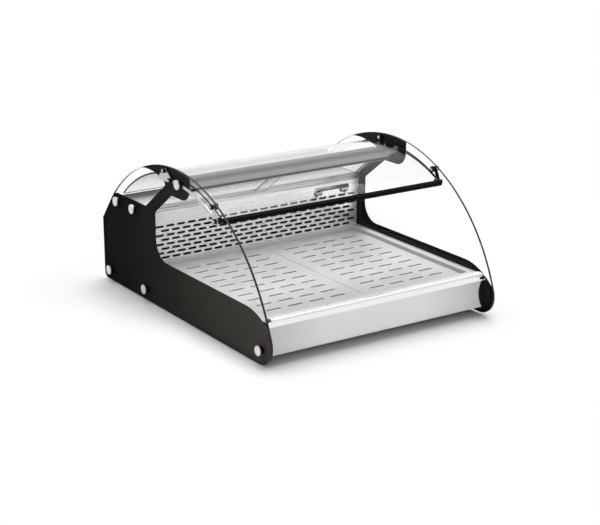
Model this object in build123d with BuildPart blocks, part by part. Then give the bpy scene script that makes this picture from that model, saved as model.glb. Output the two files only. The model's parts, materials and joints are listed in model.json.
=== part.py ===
"""Countertop refrigerated display case with arched glass ends and a sliding curved shield.

Millimetres, +Z up, front toward -Y. In side view, depth runs forward from the rear edge
of the glass ends and height runs up from their lower edge.
"""
from build123d import *
import math
import os

# Glass ends
arc_r = 497.0
arc_depth = 426.0
arc_drop = 84.0
nose_r = 53.5
rear_corner_r = 18.0
rear_edge_h = 180.0
rear_top_back = 361.5
lift = 4.0
pane_gap = 704.0
pane_t = 6.0

# Black printed field on the inside of each pane
print_t = 0.4
print_top_h = 270.5
print_corner_r = 25.0
window_run = 22.0
window_corner_r = 57.0
window_top_r = 12.0
skirt_h = 134.0
skirt_end_back = 73.6
skirt_nose_r = 170.0
skirt_fall_deg = 50.0
arm_w = 36.6
arm_top_r = 10.0
lobe_deg = 4.2
lobe_r = 44.0
crescent_r = 210.5
crescent_back = 146.0
crescent_h = 170.0
crescent_tip_back = 206.0
crescent_corner_r = 7.0

# Steel frame behind the print
frame_t = 3.0
frame_inset = 6.0
frame_top_h = 266.0
frame_skirt_h = 126.0
frame_riser_run = 13.0
frame_corner_r = 40.0
frame_nose_back = 32.6
frame_nose_h = 98.0

# Standoffs on the outside of the panes
cap_r = 13.5
cap_t = 4.0
cap_edge = 0.8
spacer_r = 12.0
spacer_t = 7.0
shank_r = 4.0
shank_cover = 0.8
hole_play = 0.3
close_fit = 0.05
top_standoff_drop = 20.6
top_rear_standoff_run = 34.9
top_front_standoff_run = 132.2
low_standoff_h = 32.0
low_rear_standoff_depth = 43.3
low_middle_standoff_depth = 255.6
nose_standoff_run = 7.2
nose_standoff_h = 39.8

# Sloping arms, rear doors and their tracks
slope_deg = 35.8
slope_back = 139.0
slope_h = 272.0
door_t = 4.0
door_pitch = 8.0
door_play = 0.5
door_seat_gap = 0.3
door_lift_play = 3.0
door_lap = 30.0
door_len = 145.7
door_side_gap = 2.6
track_w = 20.0
track_floor = 6.0
lower_track_top = -3.0
lower_track_h = 14.0
upper_track_h = 12.0
upper_track_floor = 2.0
pull_t = 1.5
pull_w = 14.0
pull_len = 110.0

# Curved shield and its guides
sheet_t = 5.0
sheet_inset = 20.5
sheet_side_gap = 2.6
sheet_rear_deg = -40.5
bar_deg = 30.4
bar_w = 15.0
bar_h = 13.0
bar_edge_r = 4.0
bar_groove = 9.0
glide_r = 8.5
glide_len = 6.0
glide_gap = 0.3
pin_r = 3.0
pin_head_r = 6.0
pin_head_t = 4.0
pin_tip_r = 4.5
pin_tip_t = 1.5
guide_t = 2.0
guide_strip_w = 8.5
guide_eye_r = 7.0
guide_tail_r = 4.0
guide_lobe_r = 11.0
high_rear_deg = -5.2
low_rear_deg = -1.6
high_front_deg = 24.9
guide_tail_deg = -9.5

# Bow handle on the shield
handle_deg = 26.4
handle_w = 92.0
handle_rise = 16.0
handle_rod_r = 4.5
handle_bend_r = 13.0
handle_foot_r = 8.0
handle_foot_t = 2.5
handle_screw_r = 2.0
handle_screw_head_r = 4.5
handle_screw_head_t = 2.5
handle_screw_grip = 8.0

# Lamp housing below the top of the arch, its corners forward and up from the door track's front edge
lamp_end_gap = 6.6
lamp_t = 1.5
lamp_top_rear = (-47.8, 19.9)
lamp_top_front = (19.6, 24.5)
lamp_nose = (35.2, 2.2)
lamp_lip = (29.2, -1.1)
lamp_boss = (14.6, 11.7)
lamp_boss_r = 7.0
lamp_bracket_r = 8.0
diffuser_w = 12.0
diffuser_back = 22.0
diffuser_h = 5.0
diffuser_wall = 1.0
diffuser_end_gap = 12.0
led_board_w = 9.0
led_board_t = 1.2
led_size = 3.0
led_h = 1.0
led_count = 24

# Back of the well
sheet_metal = 1.5
header_low_h = 226.0
grille_top_h = 234.0
grille_side_gap = 3.6
slot_w = 26.0
slot_h = 6.8
slot_corner = 2.0
slot_pitch = 34.0
slot_row_pitch = 12.9
slot_first_h = 211.0
slot_rows = 9
slot_columns = 20

# Front panel and rim, set back from the panel's foremost line
face_proud = 22.9
face_low_h = 23.8
face_high_h = 99.0
bevel_back = 4.0
bevel_high_h = 112.3
panel_flange_back = 20.5
panel_lip_h = 10.0
rim_leg_back = 17.5
rim_tube_back = 2.5
rim_tube_r = 4.0
rim_tube_bore_r = 2.6
rim_end_gap = 12.0

# Well and decks
pan_top_h = 112.3
pan_front_back = 22.5
pan_floor_h = 45.0
well_w = 650.0
well_len = 530.0
well_rear_run = 13.0
well_corner_r = 5.0
ledge_w = 12.0
ledge_play = 0.5
deck_drop = 10.0
deck_t = 1.5
deck_play = 0.5
deck_slot_w = 44.0
deck_slot_h = 6.0
deck_columns = 4
deck_rows = 10
deck_slot_pitch_x = 66.0
deck_slot_pitch_y = 46.0
rib_w = 24.0
rib_h = 14.0

# Drain
drain_x = 250.0
drain_back = 122.0
spout_r = 9.0
spout_tip_r = 8.0
spout_bore_r = 6.5
spout_flange_r = 14.0
spout_flange_t = 2.0
spout_tip_z = 2.0
drain_play = 0.5

# Base, feet and insulation
tray_h = 9.0
tray_t = 2.0
tray_wall = 28.0
tray_rear_depth = 9.4
tray_front_back = 38.5
foot_r = 16.0
foot_base_r = 14.0
foot_x = 290.0
foot_rear_depth = 70.0
foot_front_back = 52.0
foam_side_gap = 0.5
foam_front_gap = 2.0
foam_play = 0.5
cold_floor_h = 60.0

# Machine housing
cover_rear_depth = 114.0
cover_rear_h = 178.0
cover_flange_h = 156.0
service_t = 1.4
service_low_h = 16.0
service_top_h = 174.0
service_side_gap = 1.6
louvre_w = 62.0
louvre_h = 4.0
louvre_pitch_x = 78.0
louvre_pitch_z = 12.0
louvre_columns = 3
louvre_rows = 8
louvre_x = 118.0
louvre_h_mid = 96.0
screw_r = 2.0
screw_head_r = 4.0
screw_head_t = 1.6
screw_x = 300.0
screw_h_inset = 7.0
partition_back = 79.5
partition_t = 14.0

# Evaporator
coil_t = 22.0
coil_w = 480.0
coil_low_h = 70.0
coil_high_h = 215.0
coil_core_t = 10.0
fin_t = 2.0
fin_pitch = 12.0
fan_plate_back = 23.5
fan_plate_t = 2.0
fan_plate_top_h = 240.0
cold_fan_x = 170.0
cold_fan_h = 150.0
cold_fan_r = 44.0
cold_fan_t = 12.0
cold_hub_r = 18.0
cold_motor_len = 16.0
fan_tip_gap = 2.5
fan_ring_t = 2.0
fan_stand_off = 2.0
fan_shaft_r = 3.0
blade_count = 5
blade_w = 20.0
blade_t = 2.0
blade_pitch_deg = 26.0
strut_w = 7.0
strut_t = 5.0

# Condensing unit
condenser_x = 120.0
condenser_w = 200.0
condenser_rear_depth = 16.0
condenser_t = 40.0
condenser_core_t = 24.0
condenser_high_h = 160.0
shroud_t = 2.0
hot_fan_h = 88.0
hot_fan_r = 64.0
hot_fan_t = 14.0
hot_hub_r = 22.0
hot_motor_len = 34.0
compressor_x = -190.0
compressor_r = 62.0
compressor_h = 150.0
compressor_dome_r = 24.0
compressor_plate_w = 130.0
compressor_plate_t = 3.0
compressor_foot_r = 9.0
compressor_foot_h = 12.0
compressor_foot_pitch = 98.0
drier_x = -60.0
drier_depth = 130.0
drier_r = 12.0
drier_low_h = 50.0
drier_high_h = 150.0
drier_neck_r = 6.0
drier_neck_len = 10.0
pipe_r = 4.0
pipe_bend_r = 14.0
pipe_play = 0.5
box_x = 288.0
box_w = 86.0
box_rear_depth = 24.0
box_len = 110.0
box_h = 86.0
box_edge_r = 5.0

# Controls on the rear slope of the cover
thermostat_x = -120.0
bezel_w = 77.0
bezel_h = 35.0
bezel_t = 3.5
body_w = 71.0
body_h = 29.0
body_len = 42.0
cutout_play = 0.4
display_x = -13.0
display_w = 40.0
display_h = 20.0
display_recess = 0.6
key_first_x = 14.5
key_pitch = 9.5
key_w = 7.4
key_play = 0.3
key_pocket = 3.0
key_travel = 0.8
key_proud = 0.8
key_spare = 0.2
power_x = 60.0
light_x = 110.0
switch_w = 24.0
switch_len = 32.0
switch_bezel_t = 2.0
switch_body_w = 22.0
switch_body_len = 30.0
switch_body_h = 20.0
rocker_w = 13.0
rocker_len = 20.0
rocker_play = 0.5
rocker_end_play = 1.5
rocker_rise = 3.6
rocker_dip = 2.2
rocker_skirt = 3.0
rocker_keel = 7.0
rocker_room = 12.0
rocker_pivot_drop = 1.0
rocker_tilt_deg = 7.0
trunnion_r = 1.5
trunnion_len = 1.6
trunnion_gap = 0.05

# Mains inlet on the service panel
inlet_x = -60.0
inlet_h = 48.0
inlet_flange_w = 50.0
inlet_flange_h = 28.0
inlet_flange_t = 2.0
inlet_body_w = 28.0
inlet_body_h = 20.0
inlet_body_len = 26.0
inlet_recess_w = 24.0
inlet_recess_h = 16.0
inlet_recess = 16.0
inlet_blade_w = 2.0
inlet_blade_h = 5.0
inlet_blade_pitch = 7.0
inlet_blade_len = 12.0

# Values that follow from the driving dimensions
nose_depth = arc_depth + math.sqrt((arc_r - nose_r) ** 2 - (nose_r + arc_drop) ** 2)
nose_deg = math.degrees(math.atan2(nose_depth - arc_depth, nose_r + arc_drop))
case_depth = nose_depth + nose_r
face_depth = nose_depth + face_proud
rear_y = case_depth / 2
rear_top_deg = -math.degrees(math.asin(rear_top_back / arc_r))
pane_x = pane_gap / 2
outer_x = pane_x + pane_t
print_x = pane_x - print_t
frame_x = print_x - frame_t
shank_end_x = frame_x + shank_cover
cap_x = outer_x + spacer_t
sheet_outer_r = arc_r - sheet_inset
sheet_inner_r = sheet_outer_r - sheet_t
sheet_mid_r = (sheet_outer_r + sheet_inner_r) / 2
sheet_x = print_x - sheet_side_gap
high_pin_r = sheet_outer_r + glide_gap + glide_r
low_pin_r = sheet_inner_r - glide_gap - glide_r
bar_half_deg = math.degrees(bar_w / 2 / sheet_mid_r)
bar_reach = math.sqrt(glide_r ** 2 - (sheet_mid_r - bar_h / 2 - low_pin_r) ** 2)
low_front_deg = bar_deg - bar_half_deg - math.degrees((bar_reach + glide_gap) / low_pin_r)
rear_top_depth = arc_depth - rear_top_back
slope_depth = arc_depth - slope_back
window_depth = slope_depth + window_run
skirt_end_depth = nose_depth - skirt_end_back
crescent_depth = arc_depth - crescent_back
crescent_tip_depth = arc_depth - crescent_tip_back
frame_riser_depth = slope_depth + frame_riser_run
frame_nose_depth = nose_depth - frame_nose_back
tray_front_depth = face_depth - tray_front_back
slope_turn = math.radians(slope_deg)
arm_half = arm_w / 2
floor_z = lift + tray_h + tray_t


def at(depth, height):
    """Side-view point at a depth forward of the rear edge and a height above the lower edge."""
    return (rear_y - depth, lift + height)


def polar(radius, angle):
    """Side-view point about the arch's axis, its angle from the vertical positive to the front."""
    turn = math.radians(angle)
    return at(arc_depth + radius * math.sin(turn), radius * math.cos(turn) - arc_drop)


def slope_depth_at(along, across):
    """Depth of a point on the sloping arms: along runs up and forward, across up and back."""
    return slope_depth + along * math.cos(slope_turn) - across * math.sin(slope_turn)


def slope_height_at(along, across):
    """Height of a point on the sloping arms."""
    return slope_h + along * math.sin(slope_turn) + across * math.cos(slope_turn)


def slope(along, across):
    """Side-view point on the sloping arms."""
    return at(slope_depth_at(along, across), slope_height_at(along, across))


def side(x):
    """Plane seen from the side at a given x, its sketch in side-view points."""
    return Plane.YZ.offset(x)


def level(height):
    """Horizontal plane at a height."""
    return Plane.XY.offset(lift + height)


def upright(depth):
    """Plane seen from the front at a depth, facing forward."""
    return Plane.XZ.offset(depth - rear_y)


def filled(*points):
    """Face with straight sides through the given points."""
    with BuildSketch() as face:
        with BuildLine():
            Polyline(*points, close=True)
        make_face()
    return face.sketch


def slab(depth_a, depth_b, low, high):
    """Side-view rectangle between two depths and two heights."""
    return filled(at(depth_a, low), at(depth_b, low), at(depth_b, high), at(depth_a, high))


def folded(thickness, bend_side, *points):
    """Outline of a folded sheet: the given line, thickened to one side."""
    with BuildSketch() as face:
        with BuildLine():
            Polyline(*points)
            offset(amount=thickness, side=bend_side, kind=Kind.INTERSECTION)
        make_face()
    return face.sketch


def ring_sector(inner_r, outer_r, start, end):
    """Part of a ring about the arch's axis."""
    middle = (start + end) / 2
    with BuildSketch() as face:
        with BuildLine():
            ThreePointArc(polar(outer_r, start), polar(outer_r, middle), polar(outer_r, end))
            Line(polar(outer_r, end), polar(inner_r, end))
            ThreePointArc(polar(inner_r, end), polar(inner_r, middle), polar(inner_r, start))
            Line(polar(inner_r, start), polar(outer_r, start))
        make_face()
    return face.sketch


def link(*eyes):
    """Hull of circles given as a side-view point and a radius."""
    with BuildSketch() as face:
        for point, radius in eyes:
            with Locations(point):
                Circle(radius)
        make_hull()
    return face.sketch


def save(name, piece):
    """Label a finished piece and write it."""
    piece.label = name
    export_step(piece, f"parts/{name}.step")


os.makedirs("parts", exist_ok=True)
hands = (("left", -1), ("right", 1))
lobe = polar(low_pin_r, lobe_deg)
frame_standoffs = [
    at(rear_top_depth + top_rear_standoff_run, print_top_h - top_standoff_drop),
    at(rear_top_depth + top_front_standoff_run, print_top_h - top_standoff_drop),
    at(low_rear_standoff_depth, low_standoff_h),
    at(low_middle_standoff_depth, low_standoff_h),
    at(nose_depth + nose_standoff_run, nose_standoff_h),
]
standoffs = frame_standoffs + [lobe]
guide_pin_points = [
    polar(high_pin_r, high_rear_deg),
    polar(low_pin_r, low_rear_deg),
    polar(high_pin_r, high_front_deg),
    polar(low_pin_r, low_front_deg),
]

# Outline of a glass end
nose_mid_turn = math.radians((nose_deg + 180) / 2)
nose_mid = at(
    nose_depth + nose_r * math.sin(nose_mid_turn),
    nose_r + nose_r * math.cos(nose_mid_turn),
)
with BuildSketch() as pane_outline:
    with BuildLine():
        ThreePointArc(
            polar(arc_r, rear_top_deg),
            polar(arc_r, (rear_top_deg + nose_deg) / 2),
            polar(arc_r, nose_deg),
        )
        ThreePointArc(polar(arc_r, nose_deg), nose_mid, at(nose_depth, 0))
        Polyline(at(nose_depth, 0), at(0, 0), at(0, rear_edge_h), polar(arc_r, rear_top_deg))
    make_face()
    fillet(pane_outline.vertices().sort_by_distance((*at(0, 0), 0))[0], rear_corner_r)

# Front window of the print: riser, skirt, nose, lobe and the lower edge of the arm
window_along = (window_depth - slope_depth - arm_half * math.sin(slope_turn)) / math.cos(slope_turn)
window_top = slope(window_along, -arm_half)
window_low = at(window_depth, skirt_h)
skirt_fall = math.radians(skirt_fall_deg)
skirt_nose = at(
    skirt_end_depth + skirt_nose_r * math.sin(skirt_fall),
    skirt_h - skirt_nose_r * (1 - math.cos(skirt_fall)),
)
skirt_bend = at(
    skirt_end_depth + skirt_nose_r * math.sin(skirt_fall / 2),
    skirt_h - skirt_nose_r * (1 - math.cos(skirt_fall / 2)),
)
lobe_low = (lobe[0], lobe[1] - lobe_r)
lobe_front = (lobe[0] - lobe_r, lobe[1])
lobe_bend = (lobe[0] - lobe_r * math.sqrt(0.5), lobe[1] - lobe_r * math.sqrt(0.5))
arm_along = (lobe_low[1] - lift - slope_height_at(0, -arm_half)) / math.sin(slope_turn)
arm_top = slope(arm_along, -arm_half)
beyond_y = -rear_y - nose_r
beyond_z = lift + arc_r
with BuildSketch() as front_window:
    with BuildLine():
        Polyline(window_top, window_low, at(skirt_end_depth, skirt_h))
        ThreePointArc(at(skirt_end_depth, skirt_h), skirt_bend, skirt_nose)
        Polyline(
            skirt_nose,
            (beyond_y, skirt_nose[1]),
            (beyond_y, beyond_z),
            (lobe_front[0], beyond_z),
            lobe_front,
        )
        ThreePointArc(lobe_front, lobe_bend, lobe_low)
        Polyline(lobe_low, arm_top, window_top)
    make_face()
    fillet(front_window.vertices().sort_by_distance((*window_low, 0))[0], window_corner_r)
    fillet(front_window.vertices().sort_by_distance((*window_top, 0))[0], window_top_r)
    fillet(front_window.vertices().sort_by_distance((*arm_top, 0))[0], arm_top_r)

# Rear window of the print: above the housing, behind the arm and below the crescent
crescent_top_along = 2 * crescent_r
with BuildSketch() as rear_window:
    with Locations(at(crescent_depth, crescent_h)):
        Circle(crescent_r)
    add(slab(-pane_t, crescent_tip_depth, crescent_h, arc_r))
    add(slab(-arc_r, 2 * arc_r, -arc_r, print_top_h), mode=Mode.SUBTRACT)
    add(
        filled(
            slope(-crescent_top_along, arm_half),
            slope(crescent_top_along, arm_half),
            slope(crescent_top_along, -crescent_top_along),
            slope(-crescent_top_along, -crescent_top_along),
        ),
        mode=Mode.SUBTRACT,
    )
    arm_crest = rear_window.vertices().sort_by(Axis.X)[0]
    fillet(arm_crest, crescent_corner_r)

print_rear_depth = arc_depth - math.sqrt(arc_r ** 2 - (print_top_h + arc_drop) ** 2)
with BuildSketch() as print_outline:
    add(pane_outline.sketch)
    add(front_window.sketch, mode=Mode.SUBTRACT)
    add(rear_window.sketch, mode=Mode.SUBTRACT)
    print_corner = (*at(print_rear_depth, print_top_h), 0)
    fillet(print_outline.vertices().sort_by_distance(print_corner)[0], print_corner_r)

with BuildSketch() as frame_outline:
    add(pane_outline.sketch)
    offset(amount=-frame_inset)
    add(slab(-nose_r, 2 * arc_r, frame_top_h, 2 * arc_r), mode=Mode.SUBTRACT)
    add(slab(frame_riser_depth, 2 * arc_r, frame_skirt_h, arc_r), mode=Mode.SUBTRACT)
    add(slab(frame_nose_depth, 2 * arc_r, frame_nose_h, arc_r), mode=Mode.SUBTRACT)
    frame_corner = (*at(frame_riser_depth, frame_skirt_h), 0)
    fillet(frame_outline.vertices().sort_by_distance(frame_corner)[0], frame_corner_r)

# Glass ends and side frames, and the prints between them
for hand, sign in hands:
    with BuildPart() as end_glass:
        with BuildSketch(side(sign * pane_x)):
            add(pane_outline.sketch)
            with Locations(*standoffs):
                Circle(shank_r + hole_play, mode=Mode.SUBTRACT)
            with Locations(*guide_pin_points):
                Circle(pin_r + hole_play, mode=Mode.SUBTRACT)
        extrude(amount=sign * pane_t)
    save(f"end_glass_{hand}", end_glass.part)

    with BuildPart() as side_frame:
        with BuildSketch(side(sign * frame_x)):
            add(frame_outline.sketch)
        extrude(amount=sign * frame_t)
        with BuildSketch(side(sign * shank_end_x)):
            with Locations(*frame_standoffs):
                Circle(shank_r + close_fit)
        extrude(amount=sign * frame_t, mode=Mode.SUBTRACT)
    save(f"side_frame_{hand}", side_frame.part)

with BuildPart() as end_prints:
    for hand, sign in hands:
        with BuildSketch(side(sign * print_x)):
            add(print_outline.sketch)
            with Locations(*standoffs):
                Circle(shank_r + hole_play, mode=Mode.SUBTRACT)
            with Locations(*guide_pin_points):
                Circle(pin_r + hole_play, mode=Mode.SUBTRACT)
        extrude(amount=sign * print_t)
save("end_prints", end_prints.part)

# Standoffs: a light cap with its shank, and a dark spacer under each cap
with BuildPart() as standoff_caps:
    for hand, sign in hands:
        with BuildSketch(side(sign * cap_x)):
            with Locations(*standoffs):
                Circle(cap_r)
        extrude(amount=sign * cap_t)
    outer_faces = standoff_caps.faces().filter_by(Axis.X).group_by(Axis.X)
    chamfer(outer_faces[0].edges() + outer_faces[-1].edges(), cap_edge)
    for hand, sign in hands:
        with BuildSketch(side(sign * shank_end_x)):
            with Locations(*standoffs):
                Circle(shank_r)
        extrude(amount=sign * (cap_x - shank_end_x))
save("standoff_caps", standoff_caps.part)

with BuildPart() as standoff_spacers:
    for hand, sign in hands:
        with BuildSketch(side(sign * outer_x)):
            with Locations(*frame_standoffs):
                Circle(spacer_r)
                Circle(shank_r + hole_play, mode=Mode.SUBTRACT)
        extrude(amount=sign * spacer_t)
        with BuildSketch(side(sign * (outer_x + guide_t))):
            with Locations(lobe):
                Circle(spacer_r)
                Circle(shank_r + hole_play, mode=Mode.SUBTRACT)
        extrude(amount=sign * (spacer_t - guide_t))
save("standoff_spacers", standoff_spacers.part)

# Guide plate: a strip along the lower guide pins with a plate up to each upper pin
high_rear_pin, low_rear_pin, high_front_pin, low_front_pin = guide_pin_points
guide_tail = polar(low_pin_r, guide_tail_deg)
with BuildSketch() as guide_outline:
    add(
        ring_sector(
            low_pin_r - guide_strip_w / 2,
            low_pin_r + guide_strip_w / 2,
            low_rear_deg,
            low_front_deg,
        )
    )
    add(
        link(
            (high_rear_pin, guide_eye_r),
            (low_rear_pin, guide_eye_r),
            (guide_tail, guide_tail_r),
        )
    )
    add(link((high_front_pin, guide_eye_r), (low_front_pin, guide_eye_r)))
    with Locations(lobe):
        Circle(guide_lobe_r)
        Circle(shank_r + hole_play, mode=Mode.SUBTRACT)
    with Locations(*guide_pin_points):
        Circle(pin_r + hole_play, mode=Mode.SUBTRACT)
with BuildPart() as guide_plates:
    for hand, sign in hands:
        with BuildSketch(side(sign * outer_x)):
            add(guide_outline.sketch)
        extrude(amount=sign * guide_t)
save("guide_plates", guide_plates.part)

glide_x = print_x - glide_gap
glide_inner_x = glide_x - glide_len
pin_head_x = outer_x + guide_t
with BuildPart() as guide_glides:
    for hand, sign in hands:
        with BuildSketch(side(sign * glide_inner_x)):
            with Locations(*guide_pin_points):
                Circle(glide_r)
                Circle(pin_r + close_fit, mode=Mode.SUBTRACT)
        extrude(amount=sign * glide_len)
save("guide_glides", guide_glides.part)

with BuildPart() as guide_pins:
    for hand, sign in hands:
        with BuildSketch(side(sign * pin_head_x)):
            with Locations(*guide_pin_points):
                Circle(pin_head_r)
        extrude(amount=sign * pin_head_t)
        with BuildSketch(side(sign * glide_inner_x)):
            with Locations(*guide_pin_points):
                Circle(pin_r)
        extrude(amount=sign * (pin_head_x - glide_inner_x))
        with BuildSketch(side(sign * glide_inner_x)):
            with Locations(*guide_pin_points):
                Circle(pin_tip_r)
        extrude(amount=-sign * pin_tip_t)
save("guide_pins", guide_pins.part)

# Curved shield: glass sheet, edge bar and bow handle
handle_turn = math.radians(handle_deg)
handle_seat = polar(sheet_outer_r, handle_deg)
handle_plane = Plane(
    origin=(0, *handle_seat),
    x_dir=(1, 0, 0),
    z_dir=(0, -math.cos(handle_turn), -math.sin(handle_turn)),
)
seat_plane = Plane(
    origin=(0, *handle_seat),
    x_dir=(1, 0, 0),
    z_dir=(0, -math.sin(handle_turn), math.cos(handle_turn)),
)
handle_ends = [(-handle_w / 2, 0), (handle_w / 2, 0)]
sheet_end_deg = bar_deg - bar_half_deg + math.degrees((bar_groove - glide_gap) / sheet_mid_r)
with BuildPart() as shield_sheet:
    with BuildSketch(side(0)):
        add(ring_sector(sheet_inner_r, sheet_outer_r, sheet_rear_deg, sheet_end_deg))
    extrude(amount=sheet_x, both=True)
    with BuildSketch(seat_plane):
        with Locations(*handle_ends):
            Circle(handle_screw_r + hole_play)
    extrude(amount=2 * sheet_t, both=True, mode=Mode.SUBTRACT)
save("shield_sheet", shield_sheet.part)

with BuildPart() as shield_edge_bar:
    with BuildSketch(side(0)):
        with Locations(Location((*polar(sheet_mid_r, bar_deg), 0), (0, 0, bar_deg))):
            RectangleRounded(bar_w, bar_h, bar_edge_r)
        add(
            ring_sector(
                sheet_inner_r - close_fit,
                sheet_outer_r + close_fit,
                sheet_rear_deg,
                sheet_end_deg + math.degrees(glide_gap / sheet_mid_r),
            ),
            mode=Mode.SUBTRACT,
        )
    extrude(amount=sheet_x, both=True)
save("shield_edge_bar", shield_edge_bar.part)

with BuildPart() as shield_handle:
    with BuildLine(handle_plane) as bow:
        FilletPolyline(
            (-handle_w / 2, handle_foot_t / 2),
            (-handle_w / 2, handle_rise),
            (handle_w / 2, handle_rise),
            (handle_w / 2, handle_foot_t / 2),
            radius=handle_bend_r,
        )
    with BuildSketch(Plane(origin=bow.line @ 0, z_dir=bow.line % 0)):
        Circle(handle_rod_r)
    sweep()
    with BuildSketch(seat_plane):
        with Locations(*handle_ends):
            Circle(handle_foot_r)
    extrude(amount=handle_foot_t)
    with BuildSketch(seat_plane):
        with Locations(*handle_ends):
            Circle(handle_screw_r + close_fit)
    extrude(amount=handle_screw_grip + close_fit, mode=Mode.SUBTRACT)
save("shield_handle", shield_handle.part)

screw_seat = sheet_t + 2 * close_fit
with BuildPart() as handle_screws:
    with BuildSketch(seat_plane.offset(-screw_seat)):
        with Locations(*handle_ends):
            Circle(handle_screw_head_r)
    extrude(amount=-handle_screw_head_t)
    with BuildSketch(seat_plane.offset(-screw_seat)):
        with Locations(*handle_ends):
            Circle(handle_screw_r)
    extrude(amount=screw_seat + handle_screw_grip)
save("handle_screws", handle_screws.part)

# Rear doors: each runs in its own groove of a lower and an upper track
lower_base = lower_track_top - lower_track_h
lower_floor = lower_base + track_floor
door_low = lower_floor + door_seat_gap
door_high = door_low + door_len
upper_ceiling = door_high + door_lift_play
upper_top = upper_ceiling + upper_track_floor
upper_base = upper_top - upper_track_h
track_half = track_w / 2
groove_half = door_t / 2 + door_play
door_rows = (("left", -1, -door_pitch / 2), ("right", 1, door_pitch / 2))


def track(base, top, groove_from, groove_to):
    """Side outline of a double-grooved door track."""
    with BuildSketch() as face:
        add(
            filled(
                slope(base, -track_half),
                slope(top, -track_half),
                slope(top, track_half),
                slope(base, track_half),
            )
        )
        for hand, sign, row in door_rows:
            add(
                filled(
                    slope(groove_from, row - groove_half),
                    slope(groove_to, row - groove_half),
                    slope(groove_to, row + groove_half),
                    slope(groove_from, row + groove_half),
                ),
                mode=Mode.SUBTRACT,
            )
    return face.sketch


with BuildPart() as door_track_lower:
    with BuildSketch(side(0)):
        add(track(lower_base, lower_track_top, lower_floor, lower_track_top + track_w))
    extrude(amount=frame_x, both=True)
save("door_track_lower", door_track_lower.part)

lamp_x = frame_x - lamp_end_gap
with BuildPart() as door_track_upper:
    with BuildSketch(side(0)):
        add(track(upper_base, upper_top, upper_base - track_w, upper_ceiling))
    extrude(amount=lamp_x, both=True)
save("door_track_upper", door_track_upper.part)

door_edge_x = frame_x - door_side_gap
door_w = door_edge_x + door_lap / 2
door_mid = (door_low + door_high) / 2
for hand, sign, row in door_rows:
    with BuildPart() as door:
        with BuildSketch(side(sign * door_edge_x)):
            add(
                filled(
                    slope(door_low, row - door_t / 2),
                    slope(door_high, row - door_t / 2),
                    slope(door_high, row + door_t / 2),
                    slope(door_low, row + door_t / 2),
                )
            )
        extrude(amount=-sign * door_w)
    save(f"door_{hand}", door.part)

    with BuildPart() as door_pull:
        with BuildSketch(side(sign * (door_edge_x + pull_t))):
            add(
                filled(
                    slope(door_mid - pull_len / 2, row - door_t / 2 - pull_t),
                    slope(door_mid + pull_len / 2, row - door_t / 2 - pull_t),
                    slope(door_mid + pull_len / 2, row + door_t / 2 + pull_t),
                    slope(door_mid - pull_len / 2, row + door_t / 2 + pull_t),
                )
            )
        extrude(amount=-sign * pull_w)
        with BuildSketch(side(sign * door_edge_x)):
            add(
                filled(
                    slope(door_low, row - door_t / 2),
                    slope(door_high, row - door_t / 2),
                    slope(door_high, row + door_t / 2),
                    slope(door_low, row + door_t / 2),
                )
            )
        extrude(amount=-sign * pull_w, mode=Mode.SUBTRACT)
    save(f"door_pull_{hand}", door_pull.part)

# Lamp housing, its end brackets, the light strip and the diffuser
lamp_seat_front = slope(upper_top, -track_half)
lamp_seat_rear = slope(upper_top, track_half)


def lamp_at(corner):
    """Side-view point of a lamp corner, given forward and up from the track's front edge."""
    return (lamp_seat_front[0] - corner[0], lamp_seat_front[1] + corner[1])


lamp_rise = (lamp_top_front[1] - lamp_top_rear[1]) / (lamp_top_front[0] - lamp_top_rear[0])
lamp_break_run = lamp_seat_front[0] - lamp_seat_rear[0]
lamp_break = (lamp_break_run, lamp_top_rear[1] + lamp_rise * (lamp_break_run - lamp_top_rear[0]))
flange_end = (lamp_break[0] + lamp_t, lamp_break[1] + lamp_rise * lamp_t)
with BuildSketch() as lamp_outline:
    add(
        filled(
            lamp_at(lamp_break),
            lamp_at(lamp_top_front),
            lamp_at(lamp_nose),
            lamp_at(lamp_lip),
            lamp_seat_front,
            lamp_seat_rear,
        )
    )
with BuildPart() as lamp_housing:
    with BuildSketch(side(0)):
        add(lamp_outline.sketch)
        offset(lamp_outline.sketch, amount=-lamp_t, mode=Mode.SUBTRACT)
        add(
            filled(
                lamp_at(lamp_top_rear),
                lamp_at(flange_end),
                lamp_at((flange_end[0], flange_end[1] - lamp_t)),
                lamp_at((lamp_top_rear[0], lamp_top_rear[1] - lamp_t)),
            )
        )
    extrude(amount=lamp_x, both=True)
    for hand, sign in hands:
        with BuildSketch(side(sign * lamp_x)):
            add(lamp_outline.sketch)
        extrude(amount=-sign * lamp_t)
save("lamp_housing", lamp_housing.part)

with BuildPart() as lamp_brackets:
    for hand, sign in hands:
        with BuildSketch(side(sign * frame_x)):
            add(link((lobe, lamp_bracket_r), (lamp_at(lamp_boss), lamp_bracket_r)))
        extrude(amount=sign * frame_t)
        with BuildSketch(side(sign * shank_end_x)):
            with Locations(lobe):
                Circle(shank_r + close_fit)
        extrude(amount=sign * frame_t, mode=Mode.SUBTRACT)
        with BuildSketch(side(sign * frame_x)):
            with Locations(lamp_at(lamp_boss)):
                Circle(lamp_boss_r)
        extrude(amount=-sign * lamp_end_gap)
save("lamp_brackets", lamp_brackets.part)

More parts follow.
